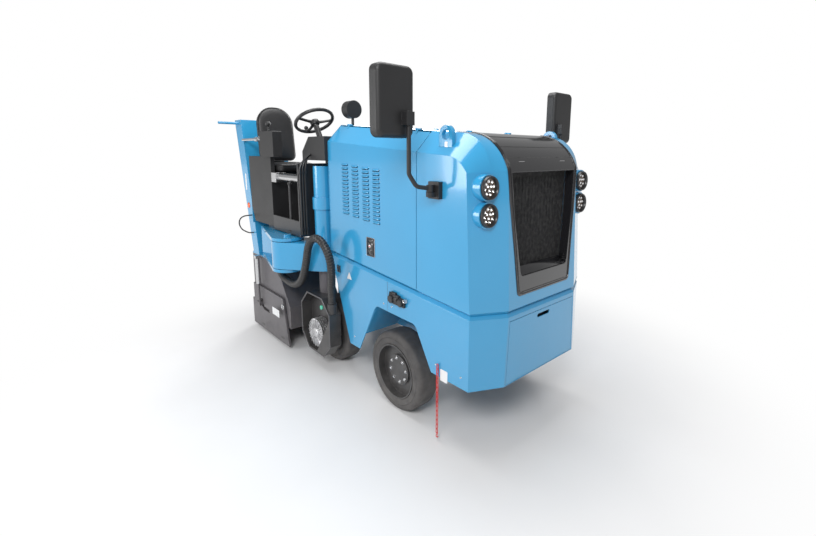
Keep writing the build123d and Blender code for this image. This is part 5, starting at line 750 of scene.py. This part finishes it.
def grille_marks(line):
    """Two short bright marks across the frame's top."""
    marks = Shape()
    x, z = line[MARK_STEP]
    for y in (-MARK_Y, MARK_Y):
        low, high = (x - 0.001, y - MARK_HALF, z - 0.0015), (x + 0.0012, y + MARK_HALF, z + 0.0015)
        marks.box(low, high, 0.0006)
    marks.done("grille_marks", "bright_steel")


def radiator_face():
    """Shroud round the radiator, its fins and its tubes, seen through the mesh."""
    shroud, fins = Shape(), Shape()
    low_x, high_x = SHROUD_X
    low_z, high_z = SHROUD_Z
    shroud.box((low_x, -SHROUD_HALF, low_z), (high_x, -RADIATOR_HALF, high_z))
    shroud.box((low_x, RADIATOR_HALF, low_z), (high_x, SHROUD_HALF, high_z))
    shroud.box((low_x, -RADIATOR_HALF, RADIATOR_Z[1]), (high_x, RADIATOR_HALF, high_z))
    shroud.done("radiator_shroud", "plastic")
    count, start, pitch, thick = FINS
    for z in (start + row * pitch for row in range(count)):
        fins.box((FIN_X[0], -RADIATOR_HALF, z), (FIN_X[1], RADIATOR_HALF, z + thick))
    count, start, pitch, half = TUBES
    for y in (start + column * pitch for column in range(count)):
        fins.box((FIN_X[0], y - half, RADIATOR_Z[0]), (FIN_X[1] + 0.001, y + half, RADIATOR_Z[1]))
    fins.done("radiator_fins", "core", smooth=0)


# ---- Sides: louvres, latches, seams, plugs, plates ----
LOUVRE_X = (0.28, 0.43, 0.58, 0.72)
LOUVRE_ROWS = 14
LOUVRE_PITCH = 0.031
LOUVRE_DROP = 0.176
LIP_SECTION = (  # (up, out) round a lip
    (0.0145, -0.001), (0.0125, 0.0045), (0.007, 0.0085), (0.0005, 0.0105), (-0.001, 0.0095),
    (0.005, 0.007), (0.0095, 0.003), (0.0105, -0.001),
)
LIP_STATIONS = (  # place along a lip, and the share of its section's depth there
    (-0.0475, 0.15), (-0.0435, 0.75), (-0.0375, 1.0), (0.0375, 1.0), (0.0435, 0.75), (0.0475, 0.15),
)
LATCH_PLACE = (0.635, 1.265)
LATCH_OUTLINE = rounded(0.112, 0.15, 0.01)
LATCH_PADDLE = (  # lowest and highest corners
    ((-0.04, -0.06, 0.003), (0.04, 0.036, 0.01)), ((-0.04, 0.04, 0.003), (0.04, 0.062, 0.007)),
    ((-0.03, -0.052, 0.009), (0.03, -0.02, 0.014)),
)
LOCK_UP = 0.008
LOCK = ((0, 0.0165), (0.01, 0.0155), (0.013, 0.01), (0, 0.01))
KEY_HOLE = ((0, 0.0175), (0.0055, 0.0172), (0.0055, 0.016), (0, 0.016))
SEAM_X = 0.85
SEAM_LOW_Z = 0.795
SEAM_HALF = 0.0012
SCREW_PLACES = (
    (0.06, 0.9), (0.06, 0.6), (0.36, 0.42), (0.8, 0.84), (0.9, 0.84), (1.4, 0.56), (1.64, 0.56),
)
SCREW = ((0, 0.004), (0.005, 0.0035), (0.0075, 0), (0, 0))
PLUG_PLACE = (0.985, 0.925)
PLUG_BLOCK = (  # lowest and highest corners, and bevel
    ((-0.085, -0.04, -0.001), (0.03, 0.034, 0.03), 0.007),
    ((-0.07, 0.026, 0.002), (-0.01, 0.048, 0.024), 0.005),
    ((0.02, -0.046, 0.0), (0.088, 0.02, 0.02), 0.006),
)
PLUG_CAPS = ((-0.052, -0.004, 0.03, 0.046), (0.052, -0.012, 0.028, 0.04), (0.004, 0.006, 0.018, 0.04))
CAP_RIBS = 10
CAP_RIB_HALF = 0.0022
PLUG_STRAP = ((-0.052, 0.026, 0.03), (-0.075, 0.045, 0.022), (-0.094, 0.03, 0.012), (-0.088, -0.004, 0.006))
PLUG_RING = ((0.01, 0.026), (0.014, 0.03), (0.016, 0.02), (0.012, 0.016))
TRIANGLE_RADIUS = 0.042
TRIANGLE_DROP = 0.008
EYE_FACE = (1.428, 0.586 + 0.015, 2.052)
CLIP_X = (0.118, 0.15)
CLIP_HEAD = ((0, 0.016), (0.005, 0.015), (0.006, 0.008), (0, 0.008))


def louvres():
    """Formed lips on both engine doors, in columns under the shoulder."""
    for name, side in SIDES:
        lips = Shape()
        for x in LOUVRE_X:
            for row in range(LOUVRE_ROWS):
                at = on_side(x, shoulder_z(x) - LOUVRE_DROP - row * LOUVRE_PITCH, side)
                rings = [
                    [(along, up, out * share if out > 0 else out) for up, out in LIP_SECTION]
                    for along, share in LIP_STATIONS
                ]
                lips.loft(rings, at)
        lips.done(f"louvre_lips_{name}", "enamel", f"door_{name}")


def door_latches():
    """Paddle latch with its lock on each engine door."""
    for name, side in SIDES:
        body = f"door_{name}"
        at = on_side(*LATCH_PLACE, side)
        lock_at = shifted(at, y=LOCK_UP)
        paddle = Shape()
        for low, high in LATCH_PADDLE:
            paddle.box(low, high, 0.003, at)
        plate = Shape().prism(LATCH_OUTLINE, -0.001, 0.0035, 0.001, at)
        rim = Shape().tube(at_height(LATCH_OUTLINE, 0), 0.0024, 6, closed=True, at=shifted(at, z=0.002))
        plate.done(f"latch_plate_{name}", "satin_black", body)
        paddle.done(f"latch_paddle_{name}", "gloss_black", body)
        rim.done(f"latch_rim_{name}", "bright_steel", body)
        Shape().lathe(LOCK, lock_at, 24).done(f"latch_lock_{name}", "chrome", body)
        Shape().lathe(KEY_HOLE, lock_at, 16).done(f"latch_key_{name}", "red_paint", body)


def body_seams():
    """Panel joints of the lower body and small screws along the sills."""
    seams, screws = Shape(), Shape()
    height = belt_z(SEAM_X) - 0.022 - SEAM_LOW_Z
    for _, side in SIDES:
        at = on_side(SEAM_X, SEAM_LOW_Z, side)
        seams.box((-SEAM_HALF, 0.0, -0.0004), (SEAM_HALF, height, 0.0004), at=at)
        for x, z in SCREW_PLACES:
            screws.lathe(SCREW, on_side(x, z, side), 16)
    seams.done("body_seams", "satin_black", smooth=0)
    screws.done("body_screws", "bright_steel")


def side_plug():
    """Dark socket block on the right side of the lower body, with its capped plugs."""
    at = on_side(*PLUG_PLACE, -1)
    block, caps, ring = Shape(), Shape(), Shape()
    for low, high, bevel in PLUG_BLOCK:
        block.box(low, high, bevel, at)
    for x, y, radius, depth in PLUG_CAPS:
        profile = ((0, depth), (radius * 0.8, depth), (radius, depth - 0.005), (radius, 0.0), (0, 0))
        caps.lathe(profile, shifted(at, x, y), 24)
        low, high = (-CAP_RIB_HALF, -CAP_RIB_HALF, 0.02), (CAP_RIB_HALF, CAP_RIB_HALF, depth - 0.006)
        for across, up in ring_of(CAP_RIBS, radius):
            caps.box(low, high, 0.0008, shifted(at, x + across, y + up))
    caps.tube(smooth_path(PLUG_STRAP), 0.003, 6, at=at)
    ring.lathe(PLUG_RING, shifted(at, 0.098, 0.012), 20, True)
    ring.box((0.084, -0.002, 0.0), (0.112, 0.026, 0.016), 0.003, at)
    block.done("side_plug_block", "plastic")
    caps.done("side_plug_caps", "soft_plastic")
    ring.done("side_plug_ring", "bright_steel")


def side_plates():
    """Bare plates on the right side and on the lifting eyes, and two small clips."""
    plates, clips = Shape(), Shape()
    triangle = [(x, y - TRIANGLE_DROP) for x, y in ring_of(3, TRIANGLE_RADIUS, pi / 2)]
    plates.prism(triangle, -0.0002, PLATE_THICK, 0, on_side(0.3, 0.955, -1))
    plates.prism(rounded(0.07, 0.085, 0.006), -0.0002, PLATE_THICK, 0, on_side(1.482, 0.505, -1))
    eye_x, eye_y, eye_z = EYE_FACE
    for _, side in SIDES:
        eye = basis((eye_x, side * eye_y, eye_z), (0, side, 0))
        plates.prism(rounded(0.026, 0.05, 0.003), -0.0002, 0.0008, 0, eye)
    plates.done("bare_plates", "plate_white", smooth=0)
    for x in CLIP_X:
        at = on_side(x, 0.985, -1)
        clips.box((-0.006, -0.032, -0.001), (0.006, 0.032, 0.01), 0.002, at)
        clips.lathe(CLIP_HEAD, shifted(at, y=0.012), 16)
    clips.done("side_clips", "satin_black")


# ---- Sighting chain ----
CHAIN_X = 1.43
CHAIN_Y = -HALF_WIDTH - 0.012
CHAIN_TOP_Z = 0.56
CHAIN_PITCH = 0.035
CHAIN_LINKS = 15
LINK_STRAIGHT = 0.0105  # half of a link's straight part
LINK_BEND = 0.0078
LINK_WIRE = 0.0031
LINK_STEPS = 20
HOOK = (  # (x, z) from the middle of the last link's foot
    (0, 0.008), (0.006, -0.001), (0.001, -0.01), (-0.008, -0.016), (-0.003, -0.026), (0.009, -0.025),
    (0.012, -0.014),
)


def guide_chain():
    """Chain of turned links that hangs at the front right, with a small hook at its end."""
    links = Shape()
    outline = []
    for step in range(LINK_STEPS):
        angle = TURN * step / LINK_STEPS
        end = LINK_STRAIGHT if sin(angle) >= 0 else -LINK_STRAIGHT
        outline.append((LINK_BEND * cos(angle), end + LINK_BEND * sin(angle), 0))
    for number in range(CHAIN_LINKS):
        at = basis((CHAIN_X, CHAIN_Y, CHAIN_TOP_Z - number * CHAIN_PITCH), X if number % 2 else Y)
        links.tube(outline, LINK_WIRE, 8, closed=True, at=at)
    low = CHAIN_TOP_Z - (CHAIN_LINKS - 1) * CHAIN_PITCH - LINK_STRAIGHT - LINK_BEND
    hook = smooth_path([(x, low + z) for x, z in HOOK])
    links.tube([(CHAIN_X + point.x, CHAIN_Y, point.y) for point in hook], 0.003, 8)
    links.done("chain_links", "red_paint", replaces="guide_chain")


# ---- Wheels, drive motor and guard ----
TYRE_HALF = (  # (radius, place along the axle) from the rim's seat to the tread
    (0.2155, -0.088), (0.222, -0.093), (0.235, -0.0945), (0.262, -0.0945), (0.266, -0.091), (0.27, -0.0945),
    (0.288, -0.092), (0.302, -0.086), (0.311, -0.076), (0.316, -0.062), (0.317, -0.04),
)
WHEELS = (  # name, x, y, side its bolts face, and the y that they stand on
    ("front_right", 0.924, -0.555, -1, -0.608), ("front_left", 0.924, 0.555, 1, 0.608),
    ("rear_right", -0.16, -0.5, 1, -0.447), ("rear_left", -0.83, 0.55, 1, 0.603),
)
HUB_BOLTS = (8, 0.095, 0.2)
MOTOR = (-0.16, -0.75, WHEEL_Z)
MOTOR_RIBS = 20
MOTOR_CAP = ((0, 0.016), (0.03, 0.015), (0.046, 0.01), (0.052, 0), (0, 0))
MOTOR_BOLTS = (  # bolts in each ring, its radius and turn, their plane and size
    (10, 0.118, 0.16, 0.0, 0.008), (4, 0.04, 0.4, 0.009, 0.006),
)
GUARD_Y = -0.77
GUARD_RIM = (
    (-0.27, 0.14), (0.01, 0.14), (0.14, 0.27), (0.14, 0.57), (0.01, 0.7), (-0.27, 0.7),
    (-0.4, 0.57), (-0.4, 0.27),
)
GUARD_CAP = ((0, 0.012), (0.018, 0.011), (0.02, 0.006), (0.02, -0.001), (0, -0.001))


def tyres_and_bolts():
    """Solid tyres with their bead, groove and shoulder, and the bolts of each hub."""
    profile = TYRE_HALF + tuple((radius, -along) for radius, along in TYRE_HALF[::-1])
    for name, x, y, out, bolt_y in WHEELS:
        tyre = Shape().lathe(profile, basis((x, y, WHEEL_Z), Y), 96, closed=True)
        tyre.done(f"tyre_{name}_tread", "tyre", f"wheel_{name}", f"tyre_{name}")
        bolts = Shape()
        for across, up in ring_of(*HUB_BOLTS):
            bolts.bolt(shifted(basis((x, bolt_y, WHEEL_Z), (0, out, 0)), across, up), 0.013)
        bolts.done(f"hub_bolts_{name}", "bright_steel", f"wheel_{name}")


def motor_trim():
    """Ribbed end of the drive motor inside its guard, the guard's rim, its cap and bolts."""
    at = basis(MOTOR, -Y)
    ribs, heads = Shape(), Shape()
    for number in range(MOTOR_RIBS):
        rib_at = turned(at, TURN * number / MOTOR_RIBS)
        ribs.box((0.052, -0.0035, -0.004), (0.13, 0.0035, 0.012), 0.002, rib_at)
    ribs.lathe(MOTOR_CAP, at, 32)
    for count, radius, turn, plane, size in MOTOR_BOLTS:
        for across, up in ring_of(count, radius, turn):
            heads.bolt(shifted(at, across, up, plane), size)
    ribs.done("motor_ribs", "alloy", "column_right")
    heads.done("motor_bolts", "bright_steel", "column_right")
    rim = Shape().tube([(x, GUARD_Y, z) for x, z in GUARD_RIM], 0.003, 6, closed=True)
    rim.done("guard_rim", "grey_rail", "column_right")
    cap = Shape().lathe(GUARD_CAP, basis((0.015, GUARD_Y, 0.62), -Y), 24)
    cap.done("guard_cap", "green", "column_right")


# ---- Mirrors, steering wheel and seat ----
MIRROR_FACE = (1.2512, 0.92, 2.308)
MIRROR_OUTLINE = rounded(0.252, 0.401, 0.033, 6)
HELM_TOP = Vector((-0.39, -0.56, 2.29))
HELM_FOOT = Vector((-0.28, -0.56, 2.12))
HELM_RADIUS = 0.174
HELM_STEPS = 60
GRIP_RADIUS = 0.016
GRIP_WAVE = 0.0012  # depth of the finger grooves on the rim's lower half
HELM_HUB = ((0, 0.01), (0.024, 0.008), (0.04, -0.002), (0.045, -0.018), (0.038, -0.04), (0, -0.044))
HELM_CAP = ((0, 0.0125), (0.012, 0.012), (0.014, 0.0095), (0, 0.0095))
SPOKE_DEGREES = (10, 170, 270)
SPOKE_HALF_THICK = 0.006
SPOKE_STATIONS = (  # radius, half width and drop below the rim
    (0.03, 0.017, 0.016), (0.085, 0.012, 0.013), (0.14, 0.012, 0.006), (0.172, 0.015, 0.0),
)
SPINNER = (
    (0, 0.062), (0.014, 0.058), (0.021, 0.046), (0.017, 0.032), (0.008, 0.024), (0.008, 0.008), (0, 0.008),
)
CUSHION_PLACE = (-1.075, -0.525, 1.801)
CUSHION_SIZE = (0.436, 0.486, 0.082)  # width, length and thickness
CUSHION_BEND = 0.075  # radius of its two front corners
BACK_CENTRE = Vector((-1.364, -0.525, 2.19))
BACK_LEAN = 0.12
BACK_BEHIND = 0.05
BACK_SIZE = (0.392, 0.574, 0.082)
BACK_ARCH = 0.18
CROWN = 0.014
PAD_LEVELS = ((0.0, 0.03), (0.12, 0.01), (0.35, 0.0), (0.7, 0.0), (0.9, 0.008), (1.0, 0.026))
PAD_CROWN = ((0.84, 0.5), (0.6, 0.8), (0.3, 1.0), (0.08, 1.0))  # share of the outline, share of the crown
PAD_FACE_INSET = PAD_LEVELS[-1][1]
PIPING_RADIUS = 0.0042


def mirror_glasses():
    for name, side in SIDES:
        x, y, z = MIRROR_FACE
        glass = Shape().prism(MIRROR_OUTLINE, -0.0016, 0.0, 0, basis((x, side * y, z), -X))
        glass.done(f"mirror_glass_{name}", "mirror", f"mirror_arm_{name}")


def steering_wheel():
    """Gripped rim, three dished spokes, hub, spinner knob and bright stem."""
    at = basis(HELM_TOP, HELM_TOP - HELM_FOOT, X)
    rim, metal = Shape(), Shape()

    def grip(index, angle):
        return GRIP_RADIUS - (GRIP_WAVE if index % 3 == 0 and angle > pi else 0)

    rim.tube(at_height(ring_of(HELM_STEPS, HELM_RADIUS), 0), grip, 12, True, at)
    rim.lathe(HELM_HUB, at, 36)
    for degrees in SPOKE_DEGREES:
        rings = []
        for radius, half, drop in SPOKE_STATIONS:
            low, high = -SPOKE_HALF_THICK - drop, SPOKE_HALF_THICK - drop
            corners = ((-half, low), (half, low), (half, high), (-half, high))
            rings.append([(radius, across, z) for across, z in corners])
        rim.loft(rings, turned(at, radians(degrees)))
    rim.lathe(SPINNER, shifted(at, 0.0, -HELM_RADIUS), 24)
    rim.done("steering_wheel_rim", "soft_plastic", "helm", "steering_wheel")
    metal.lathe(HELM_CAP, at, 24)
    metal.lathe(disc(0.016, -0.04, -0.14), at, 20)
    metal.done("steering_stem", "bright_steel", "helm")


def cushion(name, at, size, replaced, top_bend):
    """Padded block with rounded sides, a crowned face and piping; top_bend rounds its two far corners."""
    width, length, thick = size
    rings = []
    for level, inset in PAD_LEVELS:
        outline = rounded(width - 2 * inset, length - 2 * inset, 0.065, 8, top_bend - inset)
        rings.append(at_height(outline, thick * level))
    face_width, face_length = width - 2 * PAD_FACE_INSET, length - 2 * PAD_FACE_INSET
    for share, lift in PAD_CROWN:
        bend = (top_bend - PAD_FACE_INSET) * share
        outline = rounded(face_width * share, face_length * share, 0.06 * share, 8, bend)
        rings.append(at_height(outline, thick + CROWN * lift))
    soft = Shape().loft(rings, at).done(name, "vinyl", replaces=replaced, smooth=60)
    line = at_height(rounded(width + 0.003, length + 0.003, 0.066, 8, top_bend), thick * 0.8)
    piping = Shape().tube(line, PIPING_RADIUS, 8, closed=True, at=at)
    piping.done(f"{name}_piping", "soft_plastic")
    return soft


def seat():
    """Seat cushion and back in vinyl with piping."""
    at = basis(CUSHION_PLACE, Z, X)
    lower = cushion("seat_cushion_pad", at, CUSHION_SIZE, "seat_cushion", CUSHION_BEND)
    out = Vector((cos(BACK_LEAN), 0, sin(BACK_LEAN)))
    up = Vector((-sin(BACK_LEAN), 0, cos(BACK_LEAN)))
    at = basis(BACK_CENTRE - out * BACK_BEHIND, out, up)
    back = cushion("seat_back_pad", at, BACK_SIZE, "seat_back", BACK_ARCH)


# ---- Station and rear fittings ----
PIPE_X = -0.262
PIPE_Y = (-0.742, -0.766, -0.79)
PIPE_NUT_Z = (1.3, 1.82)
POST_X, POST_Y, POST_TOP_Z = -0.505, -0.782, 1.69
KNOB = ((0, 0.04), (0.012, 0.038), (0.02, 0.028), (0.019, 0.012), (0.01, 0.0), (0, 0.0))
ROD_Z = 2.13
ROD = ((-1.64, -0.788, ROD_Z), (-1.18, -0.8, ROD_Z), (-0.99, -0.8, ROD_Z))
MAST_Y = -0.8
MARKER = ((0, 0.01), (0.024, 0.009), (0.031, 0.004), (0.031, -0.001), (0, -0.001))
SIDE_PLATE_Y = -0.862
SIDE_PLATE_SLOTS = ((-1.176, 0.121), (-0.674, 0.126))


def station_fittings():
    """Pipes up the front wall, a post with a knob on the deck, and the rod that holds the control box."""
    pipes, posts = Shape(), Shape()
    for y in PIPE_Y:
        route = (
            (PIPE_X, y, DECK_Z), (PIPE_X, y, 1.5), (PIPE_X, y, 1.76), (PIPE_X, y + 0.01, 1.88),
            (PIPE_X, -0.705, 1.965), (PIPE_X, -0.65, 1.985),
        )
        pipes.tube(smooth_path(route), 0.0105, 10)
        for z in PIPE_NUT_Z:
            pipes.lathe(disc(0.016, -0.012, 0.012), basis((PIPE_X, y, z), Z), 6)
    pipes.done("wall_pipes", "hose")
    posts.tube(((POST_X, POST_Y, DECK_Z), (POST_X, POST_Y, POST_TOP_Z)), 0.013, 16)
    posts.lathe(disc(0.032, 0, 0.008), basis((POST_X, POST_Y, DECK_Z), Z), 24)
    posts.done("deck_post", "satin_black")
    knob = Shape().lathe(KNOB, basis((POST_X, POST_Y, POST_TOP_Z - 0.004), Z), 24)
    knob.done("deck_post_knob", "soft_plastic")
    rod = Shape().tube(ROD, 0.016, 20)
    rod.lathe(disc(0.026, -0.03, 0.03), basis((-1.19, -0.8, ROD_Z), X), 24)
    rod.done("control_box_rod", "bright_steel")


def rear_fittings():
    """Marker and a pale strip painted as its highlight on the mast; bare plate, ring and dark plates painted
    as the shade in its slots on the right side plate.
    """
    marker = Shape().lathe(MARKER, basis((-1.556, MAST_Y, 1.404), -Y), 32)
    marker.done("mast_marker", "orange")
    # pale strip painted on the mast where its highlight falls: a painted highlight, not a part
    highlight_at = basis((-1.593, MAST_Y, 1.667), -Y)
    patch = Shape().plate(0.032, 0.182, 0.003, highlight_at)
    patch.done("mast_painted_highlight", "plate_white", smooth=0)
    label_at = basis((-0.815, SIDE_PLATE_Y, 0.36), -Y)
    label = Shape().plate(0.17, 0.077, 0.004, label_at)
    label.done("side_plate_label", "plate_white", "plate_right", smooth=0)
    hook_at = basis((-0.621, SIDE_PLATE_Y, 0.47), -Y)
    hook = Shape().tube(at_height(ring_of(24, 0.022), 0.006), 0.005, 8, closed=True, at=hook_at)
    hook.box((-0.01, 0.012, -0.001), (0.01, 0.03, 0.012), 0.003, hook_at)
    hook.done("side_plate_hook", "bright_steel", "plate_right")
    # dark plates laid on the side plate: painted shade standing for the inside of its slots
    slots = Shape()
    for x, z in SIDE_PLATE_SLOTS:
        slots.plate(0.07, 0.018, 0.0085, basis((x, SIDE_PLATE_Y, z), -Y), 0.0008)
    slots.done("side_plate_slot_shade", "hose", "plate_right", smooth=0)


# ---- Cords ----
HOSE_ROUTE = (
    (-0.69, -0.842, 0.868), (-0.69, -0.842, 0.822), (-0.645, -0.842, 0.786), (-0.56, -0.842, 0.768),
    (-0.46, -0.842, 0.756), (-0.354, -0.842, 0.762), (-0.25, -0.842, 0.808), (-0.18, -0.842, 0.885),
    (-0.128, -0.842, 0.98), (-0.09, -0.842, 1.08), (-0.062, -0.842, 1.172), (-0.004, -0.84, 1.25),
    (0.08, -0.832, 1.282), (0.158, -0.815, 1.25), (0.212, -0.8, 1.172), (0.234, -0.788, 1.08),
    (0.222, -0.776, 0.985), (0.19, -0.762, 0.89), (0.148, -0.742, 0.805), (0.105, -0.717, 0.74),
    (0.105, -0.717, 0.668),
)
HOSE_RADIUS = 0.035
WRAP_PITCH = 0.024
WRAP_STEP = 0.004
WRAP_SHARE = 0.72  # share of the pitch that the wrap's band covers
WRAP_EDGE = 0.12  # share of the pitch over which the band rises
WRAP_DEPTH = 0.1  # depth of the groove, as a share of the radius
CABLE_ROUTE = (
    (-1.48, -0.8, 1.3), (-1.48, -0.836, 1.3), (-1.497, -0.874, 1.296), (-1.53, -0.9, 1.278),
    (-1.562, -0.912, 1.246), (-1.58, -0.914, 1.206), (-1.574, -0.906, 1.166), (-1.548, -0.892, 1.134),
    (-1.514, -0.872, 1.118), (-1.482, -0.852, 1.106), (-1.465, -0.83, 1.103), (-1.465, -0.8, 1.103),
)
CABLE_RADIUS = 0.007
CABLE_STEP = 0.006


def hose_bundle():
    """Hoses in one spiral wrap, from the swing arm's pin to the socket on the motor guard."""
    line = even_line(nurbs_line(HOSE_ROUTE), WRAP_STEP)

    def wrapped(index, angle):
        phase = (index * WRAP_STEP / WRAP_PITCH - angle / TURN) % 1.0
        rise = min(phase, WRAP_SHARE - phase) / WRAP_EDGE if phase < WRAP_SHARE else 0.0
        return HOSE_RADIUS * (1 - WRAP_DEPTH + WRAP_DEPTH * min(1.0, rise))

    wrap = Shape().tube(line, wrapped, sides=20)
    hose = wrap.done("hose_wrap", "hose", None, "hose_bundle", smooth=0)
    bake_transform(hose)


def mast_cable():
    """Loop of cable at the mast's right side."""
    line = even_line(nurbs_line(CABLE_ROUTE), CABLE_STEP)
    loop = Shape().tube(line, CABLE_RADIUS, sides=12)
    cable = loop.done("mast_cable_loop", "hose", replaces="mast_cable")


# ---- The scene ----
make_camera()
make_sky()
for light in LIGHTS:
    make_light(*light)
make_floor()
scene.view_settings.view_transform = "Standard"

front_lamps()
grille_mesh()
nose_line = over_nose(RIDGE_LOW_Z)
grille_ridges(nose_line)
grille_sill()
grille_marks(nose_line)
radiator_face()
louvres()
door_latches()
body_seams()
side_plug()
side_plates()
guide_chain()
tyres_and_bolts()
motor_trim()
mirror_glasses()
steering_wheel()
seat()
station_fittings()
rear_fittings()
hose_bundle()
mast_cable()

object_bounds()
